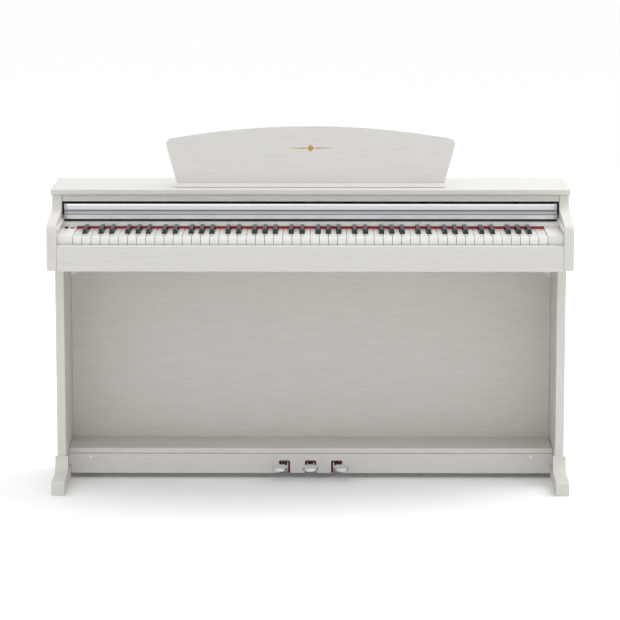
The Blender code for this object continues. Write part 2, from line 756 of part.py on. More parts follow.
def make_keys():
    """The middle octave key by key, and the keys below and above it as gangs."""
    make_white_keys("white_keys_bass", 0, MIDDLE_FIRST - 1)
    make_white_keys("white_keys_treble", MIDDLE_LAST + 1, WHITE_KEY_COUNT - 1)
    for index in range(MIDDLE_FIRST, MIDDLE_LAST + 1):
        make_white_keys("white_key_" + NOTE_NAMES[index - MIDDLE_FIRST], index, index)
    make_black_keys("black_keys_bass", black_key_places(0, MIDDLE_FIRST - 1))
    make_black_keys("black_keys_treble", black_key_places(MIDDLE_LAST + 1, WHITE_KEY_COUNT - 1))
    for note, place in zip(BLACK_NAMES, black_key_places(MIDDLE_FIRST, MIDDLE_LAST)):
        make_black_keys("black_key_" + note, [place])


def make_key_frame():
    """The steel frame under the keys, with a pivot rail for the white hubs and one for the black."""
    plate_bottom = KEY_BED_TOP + GAP
    plate_top = plate_bottom + FRAME_PLATE
    rail_top = HUB_BOTTOM - PIVOT_RAIL_GAP
    half_rail = PIVOT_RAIL_WIDTH / 2
    front = KEY_FRONT_Y + FRAME_FRONT_SETBACK
    guide_back = front + GUIDE_WIDTH
    guide_top = KEY_TOP - WHITE_LIP_HEIGHT - GUIDE_DROP
    outline = [(front, plate_bottom), (front, guide_top)]
    outline += [(guide_back, guide_top), (guide_back, plate_top)]
    for pivot in (BLACK_PIVOT_Y, WHITE_PIVOT_Y):
        outline += [(pivot - half_rail, plate_top), (pivot - half_rail, rail_top)]
        outline += [(pivot + half_rail, rail_top), (pivot + half_rail, plate_top)]
    back = WHITE_PIVOT_Y + FRAME_BACK_MARGIN
    outline += [(back, plate_top), (back, plate_bottom)]
    half = KEYS_HALF - KEY_GAP
    bm = bmesh.new()
    add_prism(bm, [(-half, y, z) for y, z in outline], (2 * half, 0, 0))
    finish_object("key_frame", bm, "steel", (0, WHITE_PIVOT_Y, plate_bottom))


def make_electronics():
    width, depth = BOARD_SIZE
    bottom = KEY_BED_TOP + GAP
    back = BACK_PANEL_Y - BOARD_BACK_MARGIN
    front = back - depth
    under = bottom + BOARD_STANDOFF
    main = board(
        "main_board",
        (-width / 2, front, under),
        (width / 2, back, under + BOARD_THICKNESS),
        "circuit",
        edge=0,
    )

    def standoffs(bm):
        for x in (-width / 2 + STANDOFF_INSET, width / 2 - STANDOFF_INSET):
            for y in (front + STANDOFF_INSET, back - STANDOFF_INSET):
                height = BOARD_STANDOFF + BOARD_THICKNESS / 2
                add_cylinder(bm, (x, y, bottom + height / 2), STANDOFF_RADIUS, height, "Z", 12)

    combine(main, helper("board_standoffs", standoffs), "UNION")
    make_speakers(bottom)
    make_jack_panel()


def make_speakers(bottom):
    """Each speaker turned from its flange, frame and magnet, over a hole in the key bed."""
    y = BACK_PANEL_Y - SPEAKER_BACK_MARGIN
    magnet_start = SPEAKER_HEIGHT * SPEAKER_BASKET_SHARE
    profile = [
        (0, SPEAKER_DISH),
        (SPEAKER_HOLE_RADIUS - SPEAKER_RIM_WIDTH, SPEAKER_RIM_DEPTH),
        (SPEAKER_HOLE_RADIUS, 0),
        (SPEAKER_RADIUS, 0),
        (SPEAKER_RADIUS, SPEAKER_FLANGE),
        (SPEAKER_RADIUS - SPEAKER_FLANGE_WIDTH, SPEAKER_FLANGE),
        (MAGNET_RADIUS, magnet_start),
        (MAGNET_RADIUS, SPEAKER_HEIGHT),
        (0, SPEAKER_HEIGHT),
    ]
    for side, name in ((-1, "speaker_left"), (1, "speaker_right")):
        bm = bmesh.new()
        centre = Vector((side * SPEAKER_OFFSET, y, bottom))
        verts = [bm.verts.new(centre + Vector((r, 0, z))) for r, z in profile]
        edges = [bm.edges.new(pair) for pair in zip(verts, verts[1:])]
        bmesh.ops.spin(
            bm,
            geom=verts + edges,
            cent=centre,
            axis=(0, 0, 1),
            angle=2 * math.pi,
            steps=24,
            use_merge=True,
        )
        bmesh.ops.remove_doubles(bm, verts=bm.verts, dist=1e-6)
        smooth(finish_object(name, bm, "speaker", centre))


def make_jack_panel():
    width, height = JACK_WINDOW
    middle = ARM_BOTTOM + JACK_HEIGHT
    front = BACK_PANEL_Y - GAP - JACK_PLATE_THICKNESS
    low = (JACK_OFFSET - width / 2 - JACK_PLATE_LAP, front, middle - height / 2 - JACK_PLATE_LAP)
    high_x = JACK_OFFSET + width / 2 + JACK_PLATE_LAP
    high = (high_x, BACK_PANEL_Y - GAP, middle + height / 2 + JACK_PLATE_LAP)
    plate = board("jack_panel", low, high, "black_plastic", edge=0)

    def sockets(bm):
        for i in range(JACK_COUNT):
            x = JACK_OFFSET + (i - (JACK_COUNT - 1) / 2) * JACK_SPACING
            add_cylinder(bm, (x, front, middle), JACK_RADIUS, 4 * JACK_PLATE_THICKNESS, "Y", 16)

    combine(plate, helper("jack_cutter", sockets), "DIFFERENCE")


def rest_axis():
    """The music rest's hinge axis, in (y, z)."""
    foot_y = LID_FRONT_Y + REST_SETBACK
    return foot_y + (REST_THICKNESS + HINGE_BEHIND_BOARD) * math.cos(REST_LEAN), LID_TOP + HINGE_RISE


def make_music_rest():
    """The arched board, its ledge and its hinge leaves, which fold back together onto the lid."""
    y, z = rest_axis()
    guide = joint_empty("music_rest_joint", (0, y, z))
    lean = Matrix.Translation((0, y, z)) @ Matrix.Rotation(-REST_LEAN, 4, "X")
    low, corner = REST_BOTTOM_WIDTH / 2, REST_TOP_WIDTH / 2
    start = REST_FOOT_LIFT
    side_angle = math.atan2(corner - low, REST_CORNER_HEIGHT)
    rise = REST_HEIGHT - REST_CORNER_HEIGHT
    radius = (corner**2 + rise**2) / (2 * rise)
    reach = corner - REST_CORNER_RADIUS
    arch = []
    for i in range(21):
        x = reach - 2 * reach * i / 20
        arch.append((x, REST_HEIGHT - radius + math.sqrt(radius**2 - x**2)))
    top_right = arch[0][1]
    rounding = arc(
        (reach, top_right - REST_CORNER_RADIUS),
        REST_CORNER_RADIUS,
        -math.degrees(side_angle),
        80,
        5,
    )
    outline = [(-low, start), (low, start)] + rounding + arch[1:-1]
    outline += [(-x, s) for x, s in reversed(rounding)]
    front = -HINGE_BEHIND_BOARD - REST_THICKNESS
    bm = bmesh.new()
    face = [lean @ Vector((x, front, s)) for x, s in outline]
    add_prism(bm, face, lean.to_3x3() @ Vector((0, REST_THICKNESS, 0)))
    finish_object("music_rest_board", bm, "wood", (0, y, z), guide)
    foot = lean @ Vector((0, front, start))
    ledge_bottom = LID_TOP + LEDGE_LIFT
    ledge_back = foot.y - LEDGE_BOARD_GAP
    board(
        "music_rest_ledge",
        (-LEDGE_WIDTH / 2, ledge_back - LEDGE_DEPTH, ledge_bottom),
        (LEDGE_WIDTH / 2, ledge_back, ledge_bottom + LEDGE_THICKNESS),
        edge=BOARD_EDGE,
        parent=guide,
    )
    for side, end in ((-1, "left"), (1, "right")):
        make_rest_hinge(side * HINGE_OFFSET, end, lean, guide)


def make_rest_hinge(x, end, lean, guide):
    """A fixed leaf on the lid with the middle knuckle, and a leaf on the board with the two outer ones."""
    y, z = lean.to_translation()[1:]
    half = HINGE_WIDTH / 2
    middle = HINGE_KNUCKLE / 2
    bm = bmesh.new()
    seat = LID_TOP + GAP
    low = (x - half, y + HINGE_LEAF_START, seat)
    add_box(bm, low, (x + half, y + HINGE_LEAF_LENGTH, seat + HINGE_LEAF))
    fixed = finish_object("music_rest_hinge_" + end, bm, "steel", (x, y, z))

    def barrel(bm):
        add_cylinder(bm, (x, y, z), HINGE_RADIUS, HINGE_KNUCKLE, "X", 16)
        add_box(bm, (x - middle, y, seat), (x + middle, y + HINGE_NECK, z))

    combine(fixed, helper("hinge_barrel_" + end, barrel), "UNION")
    leaf_back = -HINGE_BEHIND_BOARD + GAP
    place = Matrix.Translation((x, 0, 0)) @ lean
    bm = bmesh.new()
    high = (half, leaf_back + HINGE_LEAF, HINGE_LEAF_LENGTH)
    leaf_verts = add_box(bm, (-half, leaf_back, HINGE_BOARD_LEAF_START), high)
    bmesh.ops.transform(bm, matrix=place, verts=leaf_verts)
    leaf = finish_object("music_rest_leaf_" + end, bm, "steel", (x, y, z), guide)

    def outer_barrels(bm):
        length = half - middle - 2 * GAP
        for way in (-1, 1):
            shift = way * (middle + 2 * GAP + length / 2)
            add_cylinder(bm, (x + shift, y, z), HINGE_RADIUS, length, "X", 16)
            ends = sorted((shift - length / 2, shift + length / 2))
            arm = add_box(bm, (ends[0], leaf_back, 0), (ends[1], 0, HINGE_BOARD_LEAF_START + HINGE_LAP))
            bmesh.ops.transform(bm, matrix=place, verts=arm)

    combine(leaf, helper("leaf_barrels_" + end, outer_barrels), "UNION")


def foot_outline():
    """The foot in (y, z): a rounded front, a level top, and a sweep up to the front of the leg."""
    front = FRONT_Y + FOOT_FRONT_SETBACK
    leg = LEG_FRONT_Y - GAP
    points = [(front, 0)]
    points += arc((front + FOOT_NOSE, FOOT_HEIGHT - FOOT_NOSE), FOOT_NOSE, 180, 90, 4)
    points += arc((leg - FOOT_FILLET, FOOT_HEIGHT + FOOT_FILLET), FOOT_FILLET, -90, 0, 7)
    points += [(leg, FOOT_HEIGHT), (BACK_Y, FOOT_HEIGHT), (BACK_Y, 0)]
    return points


def make_stand():
    leg_bottom = FOOT_HEIGHT + GAP
    leg_back = BACK_Y - LEG_BACK_INSET
    leg_top = ARM_BOTTOM - GAP
    for side, end in ((-1, "left"), (1, "right")):
        ends = sorted((side * LEG_INNER, side * LEG_OUTER))
        board("leg_" + end, (ends[0], LEG_FRONT_Y, leg_bottom), (ends[1], leg_back, leg_top))
        bm = bmesh.new()
        start = side * FOOT_CENTRE - FOOT_THICKNESS / 2
        add_prism(bm, [(start, y, z) for y, z in foot_outline()], (FOOT_THICKNESS, 0, 0))
        finish_object("foot_" + end, bm, "wood", (side * FOOT_CENTRE, BACK_Y, 0))
        corner = side * (LEG_INNER - GAP)
        bm = bmesh.new()
        reach = corner - side * BRACKET_WIDTH
        y = PANEL_FRONT_Y - GAP - BRACKET_THICKNESS
        outline = [(corner, y, leg_top), (reach, y, leg_top), (corner, y, leg_top - BRACKET_HEIGHT)]
        add_prism(bm, outline, (0, BRACKET_THICKNESS, 0))
        finish_object("corner_bracket_" + end, bm, "grey_plastic", (corner, y, leg_top))
    across = LEG_INNER - GAP
    board(
        "modesty_panel",
        (-across, PANEL_FRONT_Y, FOOT_HEIGHT + GAP),
        (across, PANEL_BACK_Y, ARM_BOTTOM - GAP),
        "wood_shelf",
        edge=0,
    )


def box_front_outline():
    """The front of the pedal box in (x, z): notched round the feet, with a slot for each pedal."""
    across = LEG_INNER - GAP
    notch_x = FOOT_INNER - FOOT_CLEARANCE
    notch_z = FOOT_HEIGHT + FOOT_CLEARANCE
    top = BOX_TOP_Z - BOX_BOARD - GAP
    points = [(-across, top), (-across, notch_z), (-notch_x, notch_z), (-notch_x, BOX_BOTTOM_Z)]
    for i in (-1, 0, 1):
        left = i * PEDAL_SPACING - SLOT_WIDTH / 2
        right = left + SLOT_WIDTH
        corner = SLOT_TOP_Z - SLOT_CORNER
        points.append((left, BOX_BOTTOM_Z))
        points += arc((left + SLOT_CORNER, corner), SLOT_CORNER, 180, 90, 3)
        points += arc((right - SLOT_CORNER, corner), SLOT_CORNER, 90, 0, 3)
        points.append((right, BOX_BOTTOM_Z))
    points += [(notch_x, BOX_BOTTOM_Z), (notch_x, notch_z), (across, notch_z), (across, top)]
    return points


def make_pedal_box():
    across = LEG_INNER - GAP
    board(
        "pedal_box_top",
        (-across, BOX_FRONT_Y, BOX_TOP_Z - BOX_BOARD),
        (across, PANEL_FRONT_Y - GAP, BOX_TOP_Z),
        "wood_shelf",
        edge=SHELF_EDGE,
    )
    bm = bmesh.new()
    points = [(x, BOX_FRONT_Y, z) for x, z in box_front_outline()]
    add_prism(bm, points, (0, BOX_FRONT_THICKNESS, 0))
    finish_object("pedal_box_front", bm, "wood_shelf", (0, BOX_FRONT_Y, BOX_BOTTOM_Z))


def make_pedal_bracket():
    """A steel channel under the shelf, whose ears hold the axle on both sides of each pedal."""
    ceiling = BOX_TOP_Z - BOX_BOARD - GAP
    half = PEDAL_SPACING + PEDAL_BRACKET_MARGIN
    back = PEDAL_PIVOT_Y + PEDAL_BRACKET_DEPTH / 2
    bm = bmesh.new()
    add_box(bm, (-half, back - PEDAL_BRACKET_DEPTH, ceiling - BRACKET_PLATE), (half, back, ceiling))
    frame = finish_object("pedal_frame", bm, "steel", (0, PEDAL_PIVOT_Y, ceiling))
    ear_bottom = PEDAL_PIVOT_Z - PEDAL_HUB_RADIUS

    def ears(bm):
        for x in (-half, -PEDAL_SPACING / 2, PEDAL_SPACING / 2, half - BRACKET_PLATE):
            low = (x, PEDAL_PIVOT_Y - PEDAL_HUB_RADIUS, ear_bottom)
            high = (x + BRACKET_PLATE, PEDAL_PIVOT_Y + PEDAL_HUB_RADIUS, ceiling - BRACKET_PLATE / 2)
            add_box(bm, low, high)

    combine(frame, helper("pedal_frame_ears", ears), "UNION")

    def axle_hole(bm):
        centre = (0, PEDAL_PIVOT_Y, PEDAL_PIVOT_Z)
        add_cylinder(bm, centre, AXLE_RADIUS + RUNNING_GAP, 3 * half, "X", 24)

    combine(frame, helper("axle_hole_cutter", axle_hole), "DIFFERENCE")
    bm = bmesh.new()
    add_cylinder(bm, (0, PEDAL_PIVOT_Y, PEDAL_PIVOT_Z), AXLE_RADIUS, 2 * (half + AXLE_OVERHANG), "X", 24)
    smooth(finish_object("pedal_axle", bm, "steel", (0, PEDAL_PIVOT_Y, PEDAL_PIVOT_Z)))


def pedal_outline(splay):
    """A pedal seen from above, relative to its pivot: a straight lever that swells into a rounded head."""
    lever = PEDAL_LEVER_WIDTH / 2
    head = PEDAL_HEAD_WIDTH / 2
    tip = -(PIVOT_SETBACK + PEDAL_REACH)
    neck = tip + PEDAL_HEAD_LENGTH
    bend = -PIVOT_SETBACK
    steps, nose_steps = 6, 12

    def shifted(side, width, y):
        share = min(1, max(0, (bend - y) / (bend - neck)))
        return splay * share + side * width, y

    right = [shifted(1, lever, 0), shifted(1, lever, bend)]
    for i in range(steps + 1):
        share = i / steps
        width = lever + (head - lever) * (1 - math.cos(math.pi * share)) / 2
        right.append(shifted(1, width, neck + PEDAL_SWELL_START - PEDAL_SWELL_LENGTH * share))
    middle = neck + PEDAL_SWELL_START - PEDAL_SWELL_LENGTH
    nose = []
    for i in range(1, nose_steps):
        angle = math.pi * i / nose_steps
        nose.append((splay + head * math.cos(angle), middle + (tip - middle) * math.sin(angle)))
    left = []
    for x, y in reversed(right):
        share = min(1, max(0, (bend - y) / (bend - neck)))
        left.append((2 * splay * share - x, y))
    return right + nose + left


def make_pedals():
    for i, end in ((-1, "left"), (0, "middle"), (1, "right")):
        x = i * PEDAL_SPACING
        axis = (x, PEDAL_PIVOT_Y, PEDAL_PIVOT_Z)
        bottom = PEDAL_TOP_Z - PEDAL_THICKNESS
        bm = bmesh.new()
        points = [(x + dx, PEDAL_PIVOT_Y + dy, bottom) for dx, dy in pedal_outline(i * PEDAL_SPLAY)]
        add_prism(bm, points, (0, 0, PEDAL_THICKNESS))
        pedal = finish_object("pedal_" + end, bm, "chrome", axis)

        hub_width = PEDAL_LEVER_WIDTH + 2 * HUB_SIDE

        def hub(bm, centre=axis):
            add_cylinder(bm, centre, PEDAL_HUB_RADIUS - HUB_TRIM, hub_width, "X", 24)

        def hole(bm, centre=axis):
            add_cylinder(bm, centre, AXLE_RADIUS + RUNNING_GAP, PEDAL_LEVER_WIDTH * 3, "X", 24)

        combine(pedal, helper("pedal_hub_" + end, hub), "UNION")
        combine(pedal, helper("pedal_hole_" + end, hole), "DIFFERENCE")


def main():
    clear_scene()
    make_side_arms()
    make_cabinet()
    make_name_rail()
    make_cheeks()
    make_controls()
    make_cover()
    make_keys()
    make_key_frame()
    make_electronics()
    make_music_rest()
    make_stand()
    make_pedal_box()
    make_pedal_bracket()
    make_pedals()


main()
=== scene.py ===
import math

import bpy
from mathutils import Matrix, Vector


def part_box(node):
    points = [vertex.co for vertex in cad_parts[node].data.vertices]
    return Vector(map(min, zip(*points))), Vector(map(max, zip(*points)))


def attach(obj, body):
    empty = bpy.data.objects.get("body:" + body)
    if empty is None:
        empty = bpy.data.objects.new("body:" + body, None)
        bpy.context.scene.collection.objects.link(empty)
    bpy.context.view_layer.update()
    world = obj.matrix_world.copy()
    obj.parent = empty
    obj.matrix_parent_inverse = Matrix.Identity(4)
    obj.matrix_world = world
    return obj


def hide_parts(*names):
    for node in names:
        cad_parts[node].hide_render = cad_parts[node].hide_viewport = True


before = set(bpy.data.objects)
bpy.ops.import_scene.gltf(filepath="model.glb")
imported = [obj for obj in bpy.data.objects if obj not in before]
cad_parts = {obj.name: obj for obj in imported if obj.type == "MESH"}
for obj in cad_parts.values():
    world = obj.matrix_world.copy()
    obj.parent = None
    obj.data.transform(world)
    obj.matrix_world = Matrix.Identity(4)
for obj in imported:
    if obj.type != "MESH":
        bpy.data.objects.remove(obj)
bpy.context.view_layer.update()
print("frame loaded:", len(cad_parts), "nodes")


def linear(code, alpha=1.0):
    # sRGB hex to the linear colour that the shaders expect
    parts = [int(code[i:i + 2], 16) / 255 for i in (1, 3, 5)]
    return [p / 12.92 if p < 0.04045 else ((p + 0.055) / 1.055) ** 2.4 for p in parts] + [alpha]


def newMaterial(name):
    material = bpy.data.materials.new(name)
    material.use_nodes = True
    material.node_tree.nodes.clear()
    return material


def addNode(material, kind, settings=None, links=None):
    tree = material.node_tree
    node = tree.nodes.new("ShaderNode" + kind)
    for name, value in (settings or {}).items():
        if name == "stops":  # places and colours of a ramp
            for stop, (place, code) in zip(node.color_ramp.elements, value):
                stop.position = place
                stop.color = linear(code)
        elif name in node.inputs:
            node.inputs[name].default_value = value
        else:
            setattr(node, name, value)
    for name, source in (links or {}).items():
        tree.links.new(source, node.inputs[name])
    return node


# Thin printed foil on board, rolled with an open ash grain: the light catches wavy rows of pores, and
# the sheen is a low satin. Real pores are about 0.5 mm wide, too fine to show, so they are drawn wider.
foilLook = {
    "light": "#cfccc6", "dark": "#bdbab2", "cloud": "#d2cfc9",
    "figureLight": "#d3d0ca", "figureDark": "#bcb9b1", "figureShare": 0.5, "cloudShare": 0.3,
    "poreWidth": 0.0030, "poreLength": 0.060, "cloudWidth": 0.045, "cloudLength": 0.6,
    "rowSpacing": 0.0052, "rowLength": 0.7, "swayWidth": 0.045, "swayLength": 0.17, "sway": 0.011,
    "emboss": 0.35, "embossDepth": 0.0004, "roughness": (0.42, 0.56),
}


def embossedFoil(name, along):
    look = foilLook
    foil = newMaterial(name)
    place = addNode(foil, "TexCoord").outputs["Object"]
    rowUnit = look["rowSpacing"] * 10 / (2 * math.pi)  # a diagonal wave's phase grows by 10 in each unit
    spaces = {}
    for part, width, length in (("pore", look["poreWidth"], look["poreLength"]),
                                ("cloud", look["cloudWidth"], look["cloudLength"]),
                                ("sway", look["swayWidth"], look["swayLength"]),
                                ("row", rowUnit, look["rowLength"])):
        scale = [1 / width] * 3
        scale["XYZ".index(along)] = 1 / length
        spaces[part] = addNode(foil, "Mapping", {"Scale": scale}, {"Vector": place}).outputs["Vector"]
    pore = addNode(foil, "TexNoise", {"Scale": 1.0, "Detail": 4.0, "Roughness": 0.65, "Distortion": 0.4},
                   {"Vector": spaces["pore"]})
    cloud = addNode(foil, "TexNoise", {"Scale": 1.0, "Detail": 2.0, "Distortion": 0.8},
                    {"Vector": spaces["cloud"]})
    sway = addNode(foil, "TexNoise", {"Scale": 1.0, "Detail": 3.0}, {"Vector": spaces["sway"]})
    bend = addNode(foil, "VectorMath", {"operation": "SCALE", "Scale": look["sway"] / rowUnit},
                   {0: sway.outputs["Color"]})
    bent = addNode(foil, "VectorMath", {"operation": "ADD"}, {0: spaces["row"], 1: bend.outputs["Vector"]})
    rows = addNode(foil, "TexWave", {"wave_type": "BANDS", "bands_direction": "DIAGONAL", "Scale": 1.0,
                                     "Distortion": 1.2, "Detail": 2.0, "Detail Scale": 1.5},
                   {"Vector": bent.outputs["Vector"]})
    poreTint = addNode(foil, "ValToRGB", {"stops": ((0.36, look["dark"]), (0.60, look["light"]))},
                       {"Fac": pore.outputs["Fac"]})
    rowTint = addNode(foil, "ValToRGB", {"stops": ((0.0, look["figureDark"]), (0.45, look["figureLight"]))},
                      {"Fac": rows.outputs["Fac"]})
    cloudTint = addNode(foil, "ValToRGB", {"stops": ((0.35, look["light"]), (0.65, look["cloud"]))},
                        {"Fac": cloud.outputs["Fac"]})
    grain = addNode(foil, "MixRGB", {"Fac": look["figureShare"]},
                    {"Color1": poreTint.outputs["Color"], "Color2": rowTint.outputs["Color"]})
    tint = addNode(foil, "MixRGB", {"Fac": look["cloudShare"]},
                   {"Color1": grain.outputs["Color"], "Color2": cloudTint.outputs["Color"]})
    relief = addNode(foil, "Math", {"operation": "ADD"}, {0: pore.outputs["Fac"], 1: rows.outputs["Fac"]})
    low, high = look["roughness"]
    sheen = addNode(foil, "MapRange", {"To Min": high, "To Max": low}, {"Value": pore.outputs["Fac"]})
    bump = addNode(foil, "Bump", {"Strength": look["emboss"], "Distance": look["embossDepth"]},
                   {"Height": relief.outputs["Value"]})
    shader = addNode(foil, "BsdfPrincipled", {"IOR": 1.48, "Specular IOR Level": 0.45},
                     {"Base Color": tint.outputs["Color"], "Roughness": sheen.outputs["Result"],
                      "Normal": bump.outputs["Normal"]})
    addNode(foil, "OutputMaterial", None, {"Surface": shader.outputs["BSDF"]})
    return foil


def mouldedPlastic(name, look):
    # two close tones, a texture in the surface and a roughness that wanders with handling
    plastic = newMaterial(name)
    place = addNode(plastic, "TexCoord").outputs["Object"]
    patch = addNode(plastic, "TexNoise", {"Scale": 1 / look["patch"], "Detail": 2.0}, {"Vector": place})
    grit = addNode(plastic, "TexNoise", {"Scale": 1 / look["grit"], "Detail": 1.0}, {"Vector": place})
    tint = addNode(plastic, "ValToRGB", {"stops": ((0.35, look["dark"]), (0.65, look["light"]))},
                   {"Fac": patch.outputs["Fac"]})
    low, high = look["roughness"]
    worn = addNode(plastic, "MapRange", {"To Min": low, "To Max": high}, {"Value": patch.outputs["Fac"]})
    bump = addNode(plastic, "Bump", {"Strength": look["bump"], "Distance": 0.0002},
                   {"Height": grit.outputs["Fac"]})
    shader = addNode(plastic, "BsdfPrincipled",
                     {"IOR": look["ior"], "Coat Weight": look.get("coat", 0.0), "Coat Roughness": 0.06},
                     {"Base Color": tint.outputs["Color"], "Roughness": worn.outputs["Result"],
                      "Normal": bump.outputs["Normal"]})
    addNode(plastic, "OutputMaterial", None, {"Surface": shader.outputs["BSDF"]})
    return plastic


def worked(name, look):
    # metal with fine marks along one way, from brushing, rolling or polishing
    marks = [1 / look["markWidth"]] * 3
    marks["XYZ".index(look["along"])] = 1 / look["markLength"]
    metal = newMaterial(name)
    place = addNode(metal, "TexCoord").outputs["Object"]
    stretch = addNode(metal, "Mapping", {"Scale": marks}, {"Vector": place})
    mark = addNode(metal, "TexNoise", {"Scale": 1.0, "Detail": 3.0}, {"Vector": stretch.outputs["Vector"]})
    tint = addNode(metal, "ValToRGB", {"stops": ((0.3, look["dark"]), (0.7, look["light"]))},
                   {"Fac": mark.outputs["Fac"]})
    low, high = look["roughness"]
    shine = addNode(metal, "MapRange", {"To Min": low, "To Max": high}, {"Value": mark.outputs["Fac"]})
    bump = addNode(metal, "Bump", {"Strength": look["bump"], "Distance": 0.0001},
                   {"Height": mark.outputs["Fac"]})
    shader = addNode(metal, "BsdfPrincipled", {"Metallic": 1.0},
                     {"Base Color": tint.outputs["Color"], "Roughness": shine.outputs["Result"],
                      "Normal": bump.outputs["Normal"]})
    addNode(metal, "OutputMaterial", None, {"Surface": shader.outputs["BSDF"]})
    return metal


foilAcross = embossedFoil("Embossed ash foil, grain left to right", "X")
foilDeep = embossedFoil("Embossed ash foil, grain front to back", "Y")
foilUpright = embossedFoil("Embossed ash foil, grain upright", "Z")

# Sprayed white lacquer on a hard core: brighter and smoother than the foil, with a silky gloss; on the
# shaded name rail and cheek blocks that extra brightness is painted light.
lacquerAndPaintedLight = mouldedPlastic("Silk white lacquer, also painted light", {
    "light": "#e6e4de", "dark": "#e0ddd7", "patch": 0.03, "grit": 0.003, "bump": 0.04,
    "roughness": (0.3, 0.4), "ior": 1.5})
# Injection-moulded and polished: a clean white with a soft gloss and the faintest waviness.
keyWhite = mouldedPlastic("Polished white ABS", {
    "light": "#eae9e4", "dark": "#e4e3dd", "patch": 0.02, "grit": 0.004, "bump": 0.02,
    "roughness": (0.16, 0.24), "ior": 1.54, "coat": 0.25})
# Spark-eroded mould: dark charcoal, with broad soft highlights that hide finger marks.
keyBlack = mouldedPlastic("Matt charcoal ABS", {
    "light": "#1f2123", "dark": "#17181a", "patch": 0.010, "grit": 0.0012, "bump": 0.06,
    "roughness": (0.22, 0.30), "ior": 1.42})
# Moulded end caps sprayed to match the metal bar: pale silver, but softer and more even.
silverPlastic = mouldedPlastic("Silver-painted ABS", {
    "light": "#c3c5c9", "dark": "#b6b8bd", "patch": 0.01, "grit": 0.0012, "bump": 0.1,
    "roughness": (0.3, 0.42), "ior": 1.53})
# Glass-filled nylon and blackened housings: near black, and where it fills the gaps round the cover it is
# painted shade, so they read as shadow.
blackPlasticAndGapShade = mouldedPlastic("Black moulded nylon, also painted gap shade", {
    "light": "#1c1d1f", "dark": "#131416", "patch": 0.012, "grit": 0.0015, "bump": 0.2,
    "roughness": (0.5, 0.65), "ior": 1.53})
# Extruded, brushed along its length and clear anodised: a cool silver with long soft reflections.
aluminium = worked("Brushed anodised aluminium", {
    "light": "#dcdcdc", "dark": "#cbcbcc", "along": "X", "markWidth": 0.0012, "markLength": 0.25,
    "roughness": (0.26, 0.36), "bump": 0.05})
# Rolled strip with bright zinc: a greyer, spangled shine.
steel = worked("Zinc-plated steel", {
    "light": "#c3c6c8", "dark": "#a5a8ab", "along": "X", "markWidth": 0.004, "markLength": 0.012,
    "roughness": (0.3, 0.45), "bump": 0.08})
# Polished and plated: a near mirror, with only hairline marks from shoes.
chrome = worked("Polished chrome plate", {
    "light": "#e9ebec", "dark": "#dcdfe1", "along": "Y", "markWidth": 0.001, "markLength": 0.03,
    "roughness": (0.05, 0.12), "bump": 0.02})
# Rubbed brass strip let into the board: a soft gold line, a little darker where it was rubbed less.
brass = worked("Rubbed brass", {
    "light": "#b99a5b", "dark": "#9a7c42", "along": "X", "markWidth": 0.002, "markLength": 0.02,
    "roughness": (0.28, 0.4), "bump": 0.05})
# Glass-epoxy laminate under green solder mask: a glossy dark green, mottled lighter and darker.
circuitBoard = mouldedPlastic("Solder-masked laminate", {
    "light": "#2f6b45", "dark": "#1c4a30", "patch": 0.004, "grit": 0.0012, "bump": 0.2,
    "roughness": (0.25, 0.45), "ior": 1.55})

# Edit-mode helpers: each picks faces, edges or points by their place, works on them, and closes again


def activate(piece):
    bpy.ops.object.select_all(action="DESELECT")
    piece.select_set(True)
    bpy.context.view_layer.objects.active = piece


def choose(piece, kind, test):
    # leaves edit mode open, with what passes test(middle, direction) selected
    activate(piece)
    mesh = piece.data
    points = mesh.vertices
    for group in (points, mesh.edges, mesh.polygons):
        group.foreach_set("select", [False] * len(group))
    if kind == "face":
        for face in mesh.polygons:
            face.select = test(face.center, face.normal)
    elif kind == "edge":
        for edge in mesh.edges:
            start, end = (points[i].co for i in edge.vertices)
            edge.select = test((start + end) / 2, (end - start).normalized())
    else:
        for point in points:
            point.select = test(point.co, point.normal)
    bpy.context.tool_settings.mesh_select_mode = (kind == "point", kind == "edge", kind == "face")
    bpy.ops.object.mode_set(mode="EDIT")


def close():
    bpy.ops.object.mode_set(mode="OBJECT")


def near(value, target, within=2e-5):
    return abs(value - target) < within


def startBox(name, low, high):
    bpy.ops.object.select_all(action="DESELECT")
    middle = [(a + b) / 2 for a, b in zip(low, high)]
    size = [b - a for a, b in zip(low, high)]
    bpy.ops.mesh.primitive_cube_add(size=1, location=middle, scale=size)
    bpy.ops.object.transform_apply(location=True, rotation=True, scale=True)
    piece = bpy.context.object
    piece.name = piece.data.name = name
    return piece


def startRound(name, middle, radius, length, axis, sides=32):
    bpy.ops.object.select_all(action="DESELECT")
    turn = {"X": (0, math.pi / 2, 0), "Y": (math.pi / 2, 0, 0), "Z": (0, 0, 0)}[axis]
    bpy.ops.mesh.primitive_cylinder_add(vertices=sides, radius=radius, depth=length,
                                        location=middle, rotation=turn)
    bpy.ops.object.transform_apply(location=True, rotation=True, scale=True)
    piece = bpy.context.object
    piece.name = piece.data.name = name
    return piece


def cut(piece, place, across):
    choose(piece, "face", lambda middle, normal: True)
    bpy.ops.mesh.bisect(plane_co=place, plane_no=across)
    close()


def pull(piece, test, shift):
    choose(piece, "face", test)
    bpy.ops.mesh.extrude_region_move(TRANSFORM_OT_translate={"value": shift})
    close()


def slide(piece, kind, test, shift):
    choose(piece, kind, test)
    bpy.ops.transform.translate(value=shift)
    close()


def roundOver(piece, test, offset, segments):
    choose(piece, "edge", test)
    bpy.ops.mesh.bevel(offset=offset, segments=segments, affect="EDGES")
    close()


def inset(piece, test, thickness, depth):
    choose(piece, "face", test)
    bpy.ops.mesh.inset(thickness=thickness, depth=0)
    bpy.ops.transform.translate(value=depth)
    close()


def applyModifier(piece, kind, settings):
    activate(piece)
    modifier = piece.modifiers.new(kind.title(), kind)
    for name, value in settings.items():
        setattr(modifier, name, value)
    bpy.ops.object.modifier_apply(modifier=modifier.name)


